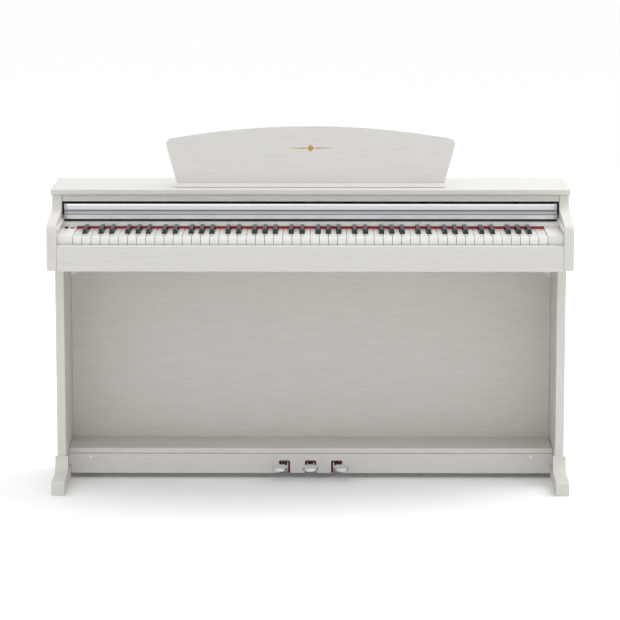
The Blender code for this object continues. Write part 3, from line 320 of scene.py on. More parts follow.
def ease(piece, width, segments=2, sharpest=30):
    # rounds the edges and keeps the flat faces flat
    activate(piece)
    bpy.ops.object.shade_smooth_by_angle(angle=math.radians(sharpest))
    applyModifier(piece, "BEVEL", {"width": width, "segments": segments, "limit_method": "ANGLE",
                                   "angle_limit": math.radians(sharpest), "harden_normals": True})


def refined(name, node, edge, segments=2):
    # a copy of the CAD solid with its triangles merged to whole faces and its edges eased
    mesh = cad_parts[node].data.copy()
    mesh.name = name
    piece = bpy.data.objects.new(name, mesh)
    bpy.context.scene.collection.objects.link(piece)
    choose(piece, "face", lambda middle, normal: True)
    bpy.ops.mesh.remove_doubles(threshold=1e-5)
    bpy.ops.mesh.dissolve_limited(angle_limit=math.radians(0.5))
    close()
    ease(piece, edge, segments)
    return piece


def settle(piece, body, slot, *nodes):
    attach(piece, body)
    if nodes:
        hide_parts(*nodes)
    return piece


def dress(piece, body, slot, material, *nodes):
    piece.data.materials.clear()
    piece.data.materials.append(material)
    return settle(piece, body, slot, *nodes)


def copied(piece, name, shift):
    # its own mesh, moved there, on the same body
    other = piece.copy()
    other.data = piece.data.copy()
    other.data.transform(Matrix.Translation(shift))
    other.name = other.data.name = name
    bpy.context.scene.collection.objects.link(other)
    return other


# Finishes of the CAD nodes: those that stay as they are, and what the rest hold until they are replaced
nodeFinish = {
    "key_frame": blackPlasticAndGapShade, "main_board": circuitBoard, "pedal_frame": steel, "pedal_axle": steel,
    "music_rest_hinge_left": steel, "music_rest_hinge_right": steel, "music_rest_leaf_left": steel,
    "music_rest_leaf_right": steel, "cover_track_left": lacquerAndPaintedLight, "cover_track_right": lacquerAndPaintedLight,
}
for nodeName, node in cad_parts.items():
    node.data.materials.clear()
    node.data.materials.append(nodeFinish.get(nodeName, foilAcross))
print("finishes on the frame")

# Side arms: a block, a sloped front, a raised back, then the shoulder and the nose rounded
arm = {"setback": 0.187, "frontRise": 0.119, "slope": 5.5, "shoulder": 0.032, "nose": 0.024,
       "edge": 0.0012}


def makeArm(node):
    low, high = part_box(node)
    drop = low.y + arm["setback"]
    frontTop = low.z + arm["frontRise"]
    dropTop = frontTop + arm["setback"] * math.tan(math.radians(arm["slope"]))
    reach = 1 / math.tan(math.radians(90 + arm["slope"]) / 2)  # from a corner to where its arc starts
    piece = startBox(node + "_shaped", low, (high.x, high.y, dropTop))
    cut(piece, (0, drop, 0), (0, 1, 0))
    slide(piece, "point", lambda spot, normal: near(spot.y, low.y) and near(spot.z, dropTop),
          (0, 0, frontTop - dropTop))
    pull(piece, lambda middle, normal: normal.z > 0.99 and middle.y > drop, (0, 0, high.z - dropTop))
    for y, z, radius in ((drop, dropTop, arm["shoulder"]), (low.y, frontTop, arm["nose"])):
        roundOver(piece, lambda middle, way: abs(way.x) > 0.9 and near(middle.y, y) and near(middle.z, z),
                  radius * reach, 12)
    ease(piece, arm["edge"], 3)
    return dress(piece, "cabinet", "wood", foilUpright, node)


for end in ("left", "right"):
    makeArm("side_arm_" + end)

# Feet: a low block with a rounded front, and a sweep that climbs to the front of the leg
foot = {"height": 0.037, "nose": 0.008, "lip": 0.0015, "legGap": 0.0003, "edge": 0.0005}
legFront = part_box("leg_left")[0].y
for end in ("left", "right"):
    low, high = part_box("foot_" + end)
    piece = startBox("foot_" + end + "_shaped", low, (high.x, high.y, foot["height"]))
    back = legFront - foot["legGap"]
    cut(piece, (0, back, 0), (0, 1, 0))
    cut(piece, (0, back - foot["lip"], 0), (0, 1, 0))
    pull(piece, lambda middle, normal: normal.z > 0.99 and near(middle.y, back - foot["lip"] / 2, 1e-4),
         (0, 0, high.z - foot["height"]))
    roundOver(piece, lambda middle, way: abs(way.x) > 0.9 and near(middle.y, back - foot["lip"])
              and near(middle.z, foot["height"]), high.z - foot["height"] - foot["lip"], 14)
    roundOver(piece, lambda middle, way: abs(way.x) > 0.9 and near(middle.y, low.y)
              and near(middle.z, foot["height"]), foot["nose"], 8)
    ease(piece, foot["edge"], 2)
    dress(piece, "cabinet", "wood", foilDeep, "foot_" + end)

# Lid: a board with a fuller rounding, as its edge banding is turned over the front
banding = {"frontRound": 0.003, "edge": 0.0012}
low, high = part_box("top_lid")
lid = startBox("top_lid_board", low, high)
roundOver(lid, lambda middle, way: near(middle.y, low.y), banding["frontRound"], 5)
ease(lid, banding["edge"], 3)
dress(lid, "cabinet", "wood", foilAcross, "top_lid")

# Flat boards keep the outlines of the CAD, windows and slots included, with eased edges
boards = {
    "edge": 0.0005, "slipRound": 0.0048, "bracketEdge": 0.001,
    "across": ("cabinet_back_panel", "key_bed", "fascia_board", "modesty_panel",
               "pedal_box_top", "pedal_box_front"),
    "upright": ("leg_left", "leg_right"),
    # the name rail and cheek blocks take the brighter lacquer: painted light, lifting parts that sit in
    # shade under the cover bar
    "paintedLight": ("name_rail", "cheek_block_left", "cheek_block_right"),
}
for grain, finish in (("across", foilAcross), ("upright", foilUpright), ("paintedLight", lacquerAndPaintedLight)):
    for node in boards[grain]:
        dress(refined(node + "_board", node, boards["edge"]), "cabinet", "wood", finish, node)
coverBoard = refined("key_cover_board_sheet", "key_cover_board", boards["edge"])
dress(coverBoard, "key_cover", "wood", foilAcross, "key_cover_board")
for end in ("left", "right"):
    bracket = refined("corner_bracket_" + end + "_block", "corner_bracket_" + end, boards["bracketEdge"])
    dress(bracket, "cabinet", "grey_plastic", lacquerAndPaintedLight, "corner_bracket_" + end)
# the slip's front edge is turned over in a soft round, which catches a bright line under the keys
low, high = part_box("key_slip")
slip = startBox("key_slip_board", low, high)
roundOver(slip, lambda middle, way: near(middle.y, low.y) and near(middle.z, high.z), boards["slipRound"], 6)
ease(slip, boards["edge"], 2)
dress(slip, "cabinet", "wood", foilAcross, "key_slip")
print("cabinet and stand boards")

# Music rest: the arched board and its ledge, with a plain brass inlay let into the face
rest = {"lipSlope": 0.0115, "endSlope": 0.0035, "lean": 15, "thickness": 0.012, "edge": 0.0012}
board = refined("music_rest_board_veneered", "music_rest_board", rest["edge"], 3)
dress(board, "music_rest", "wood", foilAcross, "music_rest_board")
low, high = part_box("music_rest_ledge")
ledge = startBox("music_rest_ledge_lip", low, high)
slide(ledge, "point", lambda spot, normal: near(spot.y, low.y) and near(spot.z, high.z),
      (0, rest["lipSlope"], 0))
for side in (-1, 1):
    slide(ledge, "point", lambda spot, normal: spot.x * side > 0 and near(spot.z, high.z),
          (-side * rest["endSlope"], 0, 0))
ease(ledge, rest["edge"], 3)
dress(ledge, "music_rest", "wood", foilAcross, "music_rest_ledge")
low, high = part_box("music_rest_board")
lean = math.radians(rest["lean"])
footOfFace = Vector((0, low.y, low.z + rest["thickness"] * math.sin(lean)))
faceTurn = Matrix.Translation(footOfFace) @ Matrix.Rotation(-lean, 4, "X")


inlay = {
    "height": 0.0935, "width": 0.122, "line": 0.0030, "lozenge": 0.0095, "proud": 0.0002, "depth": 0.0012,
    "start": 1.35,  # of the lozenge's half width, where each line begins
    "taper": 0.45,  # of the line's width, taken off above and below its outer end
    "pinch": 0.5,  # of the lozenge's half width, taken off both ways at its corners
    "edge": 0.0001,
}


def makeInlay(name, left, right, width):
    # built flat against y = 0, to be laid on the leaning face later
    return startBox(name, (left, -inlay["proud"], inlay["height"] - width / 2),
                    (right, inlay["depth"], inlay["height"] + width / 2))


def layInlay(piece):
    ease(piece, inlay["edge"], 1)
    piece.data.transform(faceTurn)
    dress(piece, "music_rest", "aluminium", brass)


outerEnd = inlay["width"] / 2
for end, side in (("left", -1), ("right", 1)):
    reach = sorted((side * inlay["lozenge"] * inlay["start"], side * outerEnd))
    piece = makeInlay("rest_inlay_" + end, reach[0], reach[1], inlay["line"])
    for rise in (1, -1):
        slide(piece, "point", lambda spot, normal: near(abs(spot.x), outerEnd)
              and (spot.z - inlay["height"]) * rise > 0, (0, 0, -rise * inlay["line"] * inlay["taper"]))
    layInlay(piece)
lozenge = makeInlay("rest_inlay_lozenge", -inlay["lozenge"], inlay["lozenge"], 2 * inlay["lozenge"])
cut(lozenge, (0, 0, 0), (1, 0, 0))
cut(lozenge, (0, 0, inlay["height"]), (0, 0, 1))
pinch = inlay["lozenge"] * inlay["pinch"]
for side in (1, -1):
    for rise in (1, -1):
        slide(lozenge, "point", lambda spot, normal: near(spot.x, side * inlay["lozenge"])
              and (spot.z - inlay["height"]) * rise > 1e-3, (-side * pinch, 0, -rise * pinch))
layInlay(lozenge)
print("music rest")

# Keyboard: seven white shapes and two end shapes, and one black shape, copied to their notes
keys = {
    "letters": "cdefgab", "sharps": "cdfga", "firstLetter": 5, "count": 52, "sideGap": 0.0008,
    "thickness": 0.010, "headLength": 0.050, "lipWall": 0.0025, "lipHeight": 0.022, "hub": 0.012,
    "edge": 0.0007,
    "blackThickness": 0.014, "blackTopWidth": 0.0095, "blackSlope": 0.005, "blackHub": 0.008,
    "blackShoulder": 0.0015, "blackNose": 0.0028, "blackNoseReach": 0.01, "blackEdge": 0.0003,
}
whiteBox = {letter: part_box("white_key_" + letter) for letter in keys["letters"]}
blackBox = {letter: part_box("black_key_" + letter + "_sharp") for letter in keys["sharps"]}
pitch = whiteBox["d"][0].x - whiteBox["c"][0].x
firstMiddle = round((whiteBox["c"][0].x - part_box("white_keys_bass")[0].x) / pitch)


def makeWhiteKey(name, letter, endOfBoard):
    low, high = whiteBox[letter]
    before = {"d": "c", "e": "d", "g": "f", "a": "g", "b": "a"}.get(letter)
    tailLeft, tailRight = low.x, high.x
    if before and endOfBoard != "first":
        tailLeft = blackBox[before][1].x + keys["sideGap"]
    if letter in blackBox and endOfBoard != "last":
        tailRight = blackBox[letter][0].x - keys["sideGap"]
    under = high.z - keys["thickness"]
    headBack = low.y + keys["headLength"]
    hubFront = high.y - keys["hub"]
    piece = startBox(name, (low.x, low.y, under), (high.x, headBack, high.z))
    for x in (tailLeft, tailRight):
        if low.x + 1e-4 < x < high.x - 1e-4:
            cut(piece, (x, 0, 0), (1, 0, 0))
    cut(piece, (0, low.y + keys["lipWall"], 0), (0, 1, 0))
    for start, end in ((headBack, hubFront), (hubFront, high.y)):
        pull(piece, lambda middle, normal: normal.y > 0.9 and near(middle.y, start)
             and tailLeft < middle.x < tailRight, (0, end - start, 0))
    pull(piece, lambda middle, normal: normal.z < -0.9 and middle.y > hubFront, (0, 0, low.z - under))
    pull(piece, lambda middle, normal: normal.z < -0.9 and middle.y < low.y + keys["lipWall"],
         (0, 0, keys["thickness"] - keys["lipHeight"]))
    ease(piece, keys["edge"], 3)
    piece.data.materials.append(keyWhite)
    return piece


def makeBlackKey(name):
    # known fault: the raised part keeps its height back to the hub, so it cuts into the felt and the rail
    low, high = blackBox["c"]
    hubFront = high.y - keys["blackHub"]
    level = whiteBox["c"][1].z
    narrow = (high.x - low.x - keys["blackTopWidth"]) / 2
    piece = startBox(name, (low.x, low.y, high.z - keys["blackThickness"]), (high.x, hubFront, high.z))
    cut(piece, (0, 0, level), (0, 0, 1))
    for x, shift in ((low.x, narrow), (high.x, -narrow)):
        slide(piece, "point", lambda spot, normal: near(spot.x, x) and near(spot.z, high.z), (shift, 0, 0))
    slide(piece, "point", lambda spot, normal: near(spot.y, low.y) and near(spot.z, high.z),
          (0, keys["blackSlope"], 0))
    pull(piece, lambda middle, normal: normal.y > 0.9 and near(middle.y, hubFront), (0, keys["blackHub"], 0))
    pull(piece, lambda middle, normal: normal.z < -0.9 and middle.y > hubFront,
         (0, 0, low.z - high.z + keys["blackThickness"]))
    roundOver(piece, lambda middle, way: abs(way.x) > 0.9 and near(middle.z, high.z)
              and middle.y < low.y + keys["blackNoseReach"], keys["blackNose"], 5)
    roundOver(piece, lambda middle, way: way.y ** 2 > 0.8 and near(middle.z, high.z),
              keys["blackShoulder"], 4)
    ease(piece, keys["blackEdge"], 2)
    piece.data.materials.append(keyBlack)
    return piece


shapes = {}
blackShape = makeBlackKey("black_note_shape")
blackCount = 0
for index in range(keys["count"]):
    turn, place = divmod(index + keys["firstLetter"], 7)
    letter = keys["letters"][place]
    octaves = turn - (firstMiddle + keys["firstLetter"]) // 7
    endOfBoard = {0: "first", keys["count"] - 1: "last"}.get(index, "")
    if (letter, endOfBoard) not in shapes:
        shapes[letter, endOfBoard] = makeWhiteKey("white_note_shape", letter, endOfBoard)
    gang = "" if octaves == 0 else "s_bass" if octaves < 0 else "s_treble"
    shift = (octaves * 7 * pitch, 0, 0)
    node = "white_key" + (gang or "_" + letter)
    note = copied(shapes[letter, endOfBoard], "white_note_%02d" % (index + 1), shift)
    settle(note, node, "key_white", node)
    if letter in blackBox and endOfBoard != "last":
        blackCount += 1
        node = "black_key" + (gang or "_" + letter + "_sharp")
        across = blackBox[letter][0].x - blackBox["c"][0].x
        note = copied(blackShape, "black_note_%02d" % blackCount, (shift[0] + across, 0, 0))
        settle(note, node, "key_black", node)
for shape in (blackShape, *shapes.values()):
    bpy.data.objects.remove(shape)
print("keyboard:", keys["count"], "white and", blackCount, "black keys")

# Felt: a dense pressed strip in front of the name rail, and the linings of the pedal slots
feltLook = {"fibre": 0.0016, "roughness": 0.95, "sheen": 0.5, "relief": 0.5, "reliefDepth": 0.0004}
strip = {"round": 0.0012, "edge": 0.0004}


def woolFelt(name, light, dark):
    felt = newMaterial(name)
    place = addNode(felt, "TexCoord").outputs["Object"]
    look = feltLook
    fibres = addNode(felt, "TexNoise", {"Scale": 1 / look["fibre"], "Detail": 3.0, "Distortion": 1.5},
                     {"Vector": place})
    tint = addNode(felt, "ValToRGB", {"stops": ((0.3, dark), (0.6, light))}, {"Fac": fibres.outputs["Fac"]})
    bump = addNode(felt, "Bump", {"Strength": look["relief"], "Distance": look["reliefDepth"]},
                   {"Height": fibres.outputs["Fac"]})
    shader = addNode(felt, "BsdfPrincipled", {"Roughness": look["roughness"], "Sheen Weight": look["sheen"]},
                     {"Base Color": tint.outputs["Color"], "Normal": bump.outputs["Normal"]})
    addNode(felt, "OutputMaterial", None, {"Surface": shader.outputs["BSDF"]})
    return felt


# matt red, with a soft bloom of loose fibres at its edges; in the slots the same red is darkened, as painted
# shade for the inside of the slots
redFelt = woolFelt("Pressed red wool felt", "#c32239", "#8f1226")
shadedRedFelt = woolFelt("Red wool felt, darkened as painted shade", "#6e0f1d", "#4a0812")

low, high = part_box("felt_strip")
felt = startBox("felt_strip_soft", low, high)
roundOver(felt, lambda middle, way: abs(way.x) > 0.9 and middle.y < (low.y + high.y) / 2,
          strip["round"], 4)
ease(felt, strip["edge"], 2)
dress(felt, "cabinet", "red_felt", redFelt, "felt_strip")

# Blocks under the ends of the rail close the way in beside the keys
filler = {"behind": 0.0005, "depth": 0.006, "height": 0.012, "gap": 0.0001, "edge": 0.0004}
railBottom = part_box("name_rail")[0].z
for end in ("left", "right"):
    cheekLow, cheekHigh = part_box("cheek_block_" + end)
    block = startBox("rail_end_block_" + end,
                     (cheekLow.x, cheekHigh.y + filler["behind"], railBottom - filler["height"]),
                     (cheekHigh.x, cheekHigh.y + filler["depth"], railBottom - filler["gap"]))
    ease(block, filler["edge"], 2)
    dress(block, "cabinet", "wood", lacquerAndPaintedLight)

# Cover bar: an extrusion grown upwards through the levels of its profile, then its two end caps
cover = {
    # height above the bar's bottom and depth behind its face, from the bottom up
    "profile": ((0.0008, 0.0040), (0.0108, 0.0040), (0.0110, 0.0058), (0.0128, 0.0058), (0.0130, 0.0042),
                (0.0200, 0.0050), (0.0203, 0.0072), (0.0250, 0.0072), (0.0253, 0.0), (0.0420, 0.0)),
    "brow": 0.0052, "edge": 0.00025, "backBand": 1e-5,
    "faceForward": -0.2,  # the stripes' faces look this far to the front, or further
}
# The same extrusion, finished in stripes of painted light: darker aluminium in the two grooves is painted
# shade, a paler grey between them is painted shade under the upper lip, and a near-white top edge is a
# painted highlight, the brightest line on the whole front.
paintedShadeAndHighlight = (
    ("Aluminium with painted groove shade", "#999ca1", "#8b8e93", (0.45, 0.55), ((0.0109, 0.0129), (0.0201, 0.0252))),
    ("Aluminium with painted shade under the lip", "#bcbec1", "#b0b2b6", (0.40, 0.50), ((0.0129, 0.0201),)),
    ("Aluminium with painted top-edge highlight", "#f7f7f7", "#efefef", (0.18, 0.24), ((0.0372, 0.0421),)),
)


def growProfile(piece, low, back):
    # back faces stay put, the front edge of each new level moves to its own depth
    level = low.z + cover["profile"][0][0]
    for height, depth in cover["profile"][1:]:
        top = low.z + height
        pull(piece, lambda middle, normal: normal.z > 0.5 and near(middle.z, level), (0, 0, top - level))
        points = [point.co for point in piece.data.vertices]
        front = min(spot.y for spot in points if near(spot.z, top))
        slide(piece, "point", lambda spot, normal: near(spot.z, top) and spot.y < back - cover["backBand"],
              (0, low.y + depth - front, 0))
        level = top


for node, finish, slot in (("key_cover_front_bar", aluminium, "aluminium"),
                           ("key_cover_end_cap_left", silverPlastic, "grey_plastic"),
                           ("key_cover_end_cap_right", silverPlastic, "grey_plastic")):
    low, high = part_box(node)
    height, depth = cover["profile"][0]
    bar = startBox(node + "_profiled", (low.x, low.y + depth, low.z), (high.x, high.y, low.z + height))
    growProfile(bar, low, high.y)
    roundOver(bar, lambda middle, way: abs(way.x) > 0.9 and near(middle.y, low.y) and near(middle.z, high.z),
              cover["brow"], 8)
    ease(bar, cover["edge"], 2)
    dress(bar, "key_cover", slot, finish, node)
    if finish is aluminium:
        # stripes by face height: painted shade in the grooves and under the lip, a painted highlight along
        # the top edge
        for index, (name, light, dark, roughness, zones) in enumerate(paintedShadeAndHighlight):
            bar.data.materials.append(worked(name, {
                "light": light, "dark": dark, "along": "X", "markWidth": 0.0012, "markLength": 0.25,
                "roughness": roughness, "bump": 0.05}))
            for face in bar.data.polygons:
                rise = face.center.z - low.z
                if face.normal.y < cover["faceForward"] and any(start < rise < end for start, end in zones):
                    face.material_index = index + 1

# A black strip on the rail behind the bar is painted shade: it fills the gap under the cover bar so that the
# gap reads dark
gapShade = {"inset": 0.002, "depth": 0.004, "gap": 0.0003, "clearance": 0.0006, "edge": 0.0004}
barLow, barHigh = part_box("key_cover_front_bar")
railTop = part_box("name_rail")[1].z
gapShadeStrip = startBox("cover_gap_shade_strip",
                 (barLow.x + gapShade["inset"], barHigh.y + gapShade["gap"], railTop + gapShade["gap"]),
                 (barHigh.x - gapShade["inset"], barHigh.y + gapShade["depth"],
                  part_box("key_cover_board")[0].z - gapShade["clearance"]))
ease(gapShadeStrip, gapShade["edge"], 2)
dress(gapShadeStrip, "cabinet", "grey_plastic", blackPlasticAndGapShade)

# Controls: a dished power button with a raised rim, and a slider knob with finger ridges
control = {"corner": 0.002, "rim": 0.0011, "dish": 0.0005, "edge": 0.0004,
           "ridges": 5, "ridgeDepth": 0.0005, "ridgeEdge": 0.0001}
low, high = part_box("power_button")
button = startBox("power_button_dished", low, high)
roundOver(button, lambda middle, way: abs(way.z) > 0.9, control["corner"], 5)
inset(button, lambda middle, normal: normal.z > 0.9, control["rim"], (0, 0, -control["dish"]))
ease(button, control["edge"], 2)
dress(button, "power_button", "grey_plastic", blackPlasticAndGapShade, "power_button")
low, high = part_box("volume_slider")
slider = startBox("volume_slider_ridged", low, high)
step = (high.x - low.x) / (2 * control["ridges"] + 1)
for i in range(1, 2 * control["ridges"] + 1):
    cut(slider, (low.x + i * step, 0, 0), (1, 0, 0))
for i in range(control["ridges"]):
    slot = low.x + (2 * i + 1.5) * step
    pull(slider, lambda middle, normal: normal.z > 0.9 and near(middle.x, slot, step / 4),
         (0, 0, -control["ridgeDepth"]))
ease(slider, control["ridgeEdge"], 2)
dress(slider, "volume_slider", "grey_plastic", blackPlasticAndGapShade, "volume_slider")
print("cover and controls")

# Pedals: the levers keep the outline of the CAD, with full rounded edges under the chrome
pedal = {
    "spacing": 0.070, "edge": 0.0016, "leverWidth": 0.016,
    "slotWidth": 0.030, "slotTop": 0.049, "slotGap": 0.0001, "corner": 0.004,
    "lining": 0.0024, "liningInset": 0.003, "liningEdge": 0.0003,
    "curtainLap": 0.004, "curtainThickness": 0.0018, "curtainEdge": 0.0002, "notchGap": 0.0012,
    "notchTop": 0.0442,
}
boxLow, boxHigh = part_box("pedal_box_front")
half = pedal["slotWidth"] / 2 - pedal["slotGap"]
crown = pedal["slotTop"] - pedal["slotGap"]
notch = pedal["leverWidth"] / 2 + pedal["notchGap"]
for side, place in (("left", -1), ("middle", 0), ("right", 1)):
    name = "pedal_" + side
    dress(refined(name + "_plated", name, pedal["edge"], 4), name, "chrome", chrome, name)
    middle = place * pedal["spacing"]
    # felt folded round the slot's two sides and top, so that the lever doesn't tap the board
    lining = startBox("slot_lining_" + side, (middle - half, boxLow.y + pedal["liningInset"], boxLow.z),
                      (middle + half, boxHigh.y, crown))
    roundOver(lining, lambda spot, way: abs(way.y) > 0.9 and near(spot.z, crown), pedal["corner"], 6)
    choose(lining, "face", lambda spot, normal: abs(normal.y) > 0.9 or normal.z < -0.9)
    bpy.ops.mesh.delete(type="FACE")
    close()
    applyModifier(lining, "SOLIDIFY", {"thickness": pedal["lining"], "offset": -1})
    ease(lining, pedal["liningEdge"], 2)
    # the lining's darker felt is painted shade inside the slot
    dress(lining, "cabinet", "red_felt", shadedRedFelt)
    # a felt curtain hangs behind the slot, notched for the lever
    back = boxHigh.y + pedal["slotGap"]
    reach = half + pedal["curtainLap"]
    curtain = startBox("slot_curtain_" + side, (middle - reach, back, pedal["notchTop"]),
                       (middle + reach, back + pedal["curtainThickness"],
                        pedal["slotTop"] + pedal["curtainLap"]))
    for x in (middle - notch, middle + notch):
        cut(curtain, (x, 0, 0), (1, 0, 0))
    pull(curtain, lambda spot, normal: normal.z < -0.9 and abs(spot.x - middle) > notch,
         (0, 0, boxLow.z - pedal["notchTop"]))
    ease(curtain, pedal["curtainEdge"], 1)
    # the curtain's darker felt is painted shade behind the slot
    dress(curtain, "cabinet", "red_felt", shadedRedFelt)
print("pedals")

# Speakers: each driver's paper cone, with its surround and dust cap pressed into the same piece, facing down
# through the key bed
driver = {"radius": 0.045, "dish": 0.0056, "frame": 0.0006, "housingEdge": 0.0006, "coneEdge": 0.0001,
          "flatten": 0.55,  # the share of each drop that is used, so that the cone stays in its dish
          # inset towards the middle and drop of each ring, from the frame inwards
          "rings": ((0.0025, -0.0020), (0.0030, -0.0010), (0.0030, 0.0014), (0.0020, 0.0016),
                    (0.0120, 0.0034), (0.0060, 0.0012), (0.0010, -0.0012), (0.0050, -0.0018),
                    (0.0050, -0.0007))}
# Pressed paper pulp, doped black: matt and faintly fibrous.
paperCone = mouldedPlastic("Doped paper cone", {
    "light": "#2c2b2a", "dark": "#1f1e1e", "patch": 0.006, "grit": 0.001, "bump": 0.3,
    "roughness": (0.75, 0.9), "ior": 1.45})
for end in ("left", "right"):
    low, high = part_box("speaker_" + end)
    dress(refined("speaker_" + end + "_housing", "speaker_" + end, driver["housingEdge"]),
          "cabinet", "speaker", blackPlasticAndGapShade, "speaker_" + end)
    middle = (low + high) / 2
    base = low.z + driver["dish"]
    cone = startRound("speaker_" + end + "_cone", (middle.x, middle.y, base - driver["frame"] / 2),
                      driver["radius"], driver["frame"], "Z", 48)
    choose(cone, "face", lambda spot, normal: normal.z < -0.9)
    for ring, rise in driver["rings"]:
        bpy.ops.mesh.inset(thickness=ring)
        bpy.ops.transform.translate(value=(0, 0, rise * driver["flatten"]))
    close()
    ease(cone, driver["coneEdge"], 1, 60)
    dress(cone, "cabinet", "speaker", paperCone)

# Jack panel: the plate keeps its holes, and each jack has a plated ring with a lip
jack = {"count": 5, "spacing": 0.024, "bore": 0.0029, "outer": 0.0046, "proud": 0.0011, "lip": 0.0005,
        "plateEdge": 0.0004}
low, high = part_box("jack_panel")
dress(refined("jack_panel_plate", "jack_panel", jack["plateEdge"]), "cabinet", "black_plastic",
      blackPlasticAndGapShade, "jack_panel")
middle = (low + high) / 2
ring = startRound("jack_ring_1", (middle.x - 2 * jack["spacing"], high.y + jack["proud"] / 2, middle.z),
                  jack["outer"], jack["proud"], "Y")
choose(ring, "face", lambda spot, normal: abs(normal.y) > 0.9)
bpy.ops.mesh.inset(thickness=jack["outer"] - jack["bore"])
bpy.ops.mesh.bridge_edge_loops()
close()
ease(ring, jack["lip"] / 2, 2)
dress(ring, "cabinet", "chrome", chrome)
for i in range(1, jack["count"]):
    other = copied(ring, "jack_ring_%d" % (i + 1), (i * jack["spacing"], 0, 0))
    settle(other, "cabinet", "chrome")

# Fixings: round caps over the cam locks of the pedal box, and socket screws in the modesty panel's back
fixing = {"capRadius": 0.0042, "capProud": 0.0008, "capInset": 0.059, "capDrop": 0.0085,
          "capDish": 0.7, "capDishDepth": 0.0002,  # the dish's radius is this share of the cap's
          "screwRadius": 0.0038, "screwProud": 0.0022, "socket": 0.0015, "socketDepth": 0.0014,
          "screwMargin": 0.012, "screwRows": 5, "screwLift": 0.05}


def makeDisc(name, place, radius, proud, socket, depth, towards):
    # a turned head on a face across y: rounded rim, then a shallow dish or a socket at its middle
    disc = startRound(name, (place[0], place[1] + towards * proud / 2, place[2]), radius, proud, "Y")
    choose(disc, "face", lambda spot, normal: normal.y * towards > 0.9)
    bpy.ops.mesh.inset(thickness=radius - socket)
    bpy.ops.transform.translate(value=(0, -towards * depth, 0))
    close()
    ease(disc, proud / 4, 2)
    return disc


low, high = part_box("pedal_box_front")
cap = makeDisc("cam_cap_left", (low.x + fixing["capInset"], low.y, high.z - fixing["capDrop"]),
               fixing["capRadius"], fixing["capProud"], fixing["capRadius"] * fixing["capDish"],
               fixing["capDishDepth"], -1)
dress(cap, "cabinet", "wood", lacquerAndPaintedLight)
settle(copied(cap, "cam_cap_right", (high.x - low.x - 2 * fixing["capInset"], 0, 0)), "cabinet", "wood")
low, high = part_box("modesty_panel")
rows = fixing["screwRows"]
rise = (high.z - low.z - 2 * fixing["screwMargin"] - fixing["screwLift"]) / (rows - 1)
first = Vector((low.x + fixing["screwMargin"], high.y,
                low.z + fixing["screwMargin"] + fixing["screwLift"]))
screw = makeDisc("panel_screw_1", first, fixing["screwRadius"], fixing["screwProud"], fixing["socket"],
                 fixing["socketDepth"], 1)
dress(screw, "cabinet", "steel", steel)
for i in range(1, 2 * rows):
    across = (i // rows) * (high.x - low.x - 2 * fixing["screwMargin"])
    settle(copied(screw, "panel_screw_%d" % (i + 1), (across, 0, (i % rows) * rise)), "cabinet", "steel")
print("speakers, jacks and fixings")

# Stage: a pale floor, a pale surround and three soft boxes
stage = {
    "floorSize": 60.0, "floor": "#f7f7f6", "surround": "#fbfcff", "surroundStrength": (0.52, 1.36),
    "wall": (0.14, 0.34), "wallStrength": 1.1,  # a lit wall behind the floor fades out between these heights
    "lamps": (  # place, size, power in watts: right and above, front left, and high behind
        ("Key softbox", (3.0, 0.5, 3.6), 3.0, 62),
        ("Fill softbox", (-1.0, -6.0, 3.6), 4.0, 22),
        ("Top softbox", (0.3, 1.6, 4.6), 3.5, 42),
    ),
    "aim": (0.0, 0.0, 0.5),
}
bpy.ops.object.select_all(action="DESELECT")
bpy.ops.mesh.primitive_plane_add(size=stage["floorSize"], location=(0, 0, 0))
floor = bpy.context.object
floor.name = floor.data.name = "floor"
paper = newMaterial("Seamless studio paper")  # a soft matt white with a barely visible tooth
paperPlace = addNode(paper, "TexCoord").outputs["Object"]
tooth = addNode(paper, "TexNoise", {"Scale": 60.0, "Detail": 2.0}, {"Vector": paperPlace})
paperBump = addNode(paper, "Bump", {"Strength": 0.05, "Distance": 0.0005}, {"Height": tooth.outputs["Fac"]})
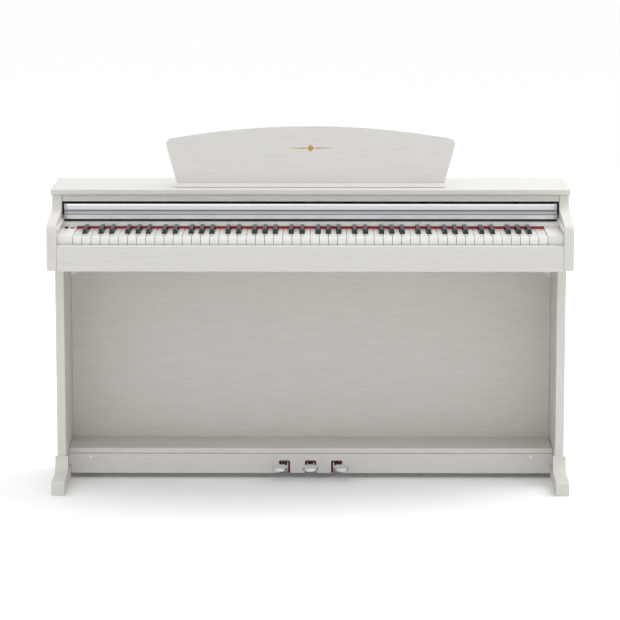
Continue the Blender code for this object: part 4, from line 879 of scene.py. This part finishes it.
paperShader = addNode(paper, "BsdfPrincipled", {"Base Color": linear(stage["floor"]), "Roughness": 0.85},
                      {"Normal": paperBump.outputs["Normal"]})
addNode(paper, "OutputMaterial", None, {"Surface": paperShader.outputs["BSDF"]})
floor.data.materials.append(paper)

world = bpy.data.worlds.new("Pale surround")
bpy.context.scene.world = world
world.use_nodes = True
surround = world.node_tree.nodes["Background"]
surround.inputs["Color"].default_value = linear(stage["surround"])
skyWay = addNode(world, "TexCoord").outputs["Generated"]
skyHeight = addNode(world, "SeparateXYZ", None, {"Vector": skyWay}).outputs["Z"]
horizon, zenith = stage["surroundStrength"]
dome = addNode(world, "MapRange", {"To Min": horizon, "To Max": zenith}, {"Value": skyHeight})
wallLow, wallHigh = stage["wall"]
wall = addNode(world, "MapRange", {"From Min": wallLow, "From Max": wallHigh,
                                   "To Min": stage["wallStrength"], "To Max": horizon}, {"Value": skyHeight})
glow = addNode(world, "Math", {"operation": "MAXIMUM"},
               {0: dome.outputs["Result"], 1: wall.outputs["Result"]})
world.node_tree.links.new(glow.outputs["Value"], surround.inputs["Strength"])

for lampName, place, size, power in stage["lamps"]:
    lamp = bpy.data.lights.new(lampName, "AREA")
    lamp.shape = "SQUARE"
    lamp.size = size
    lamp.energy = power
    holder = bpy.data.objects.new(lampName, lamp)
    holder.location = place
    towards = Vector(stage["aim"]) - Vector(place)
    holder.rotation_euler = towards.to_track_quat("-Z", "Y").to_euler()
    bpy.context.scene.collection.objects.link(holder)

view = {"place": (0.038, -8.000, 1.788), "down": 9.377, "turn": 0.282, "lens": 177.52, "sensor": 36.0}
camera = bpy.data.cameras.new("Camera")
camera.lens = view["lens"]
camera.sensor_width = view["sensor"]
cameraHolder = bpy.data.objects.new("Camera", camera)
cameraHolder.location = view["place"]
cameraHolder.rotation_euler = (math.radians(90 - view["down"]), 0, math.radians(view["turn"]))
bpy.context.scene.collection.objects.link(cameraHolder)
bpy.context.scene.camera = cameraHolder
bpy.context.scene.view_settings.view_transform = "Standard"
print("stage, lights and camera in place")
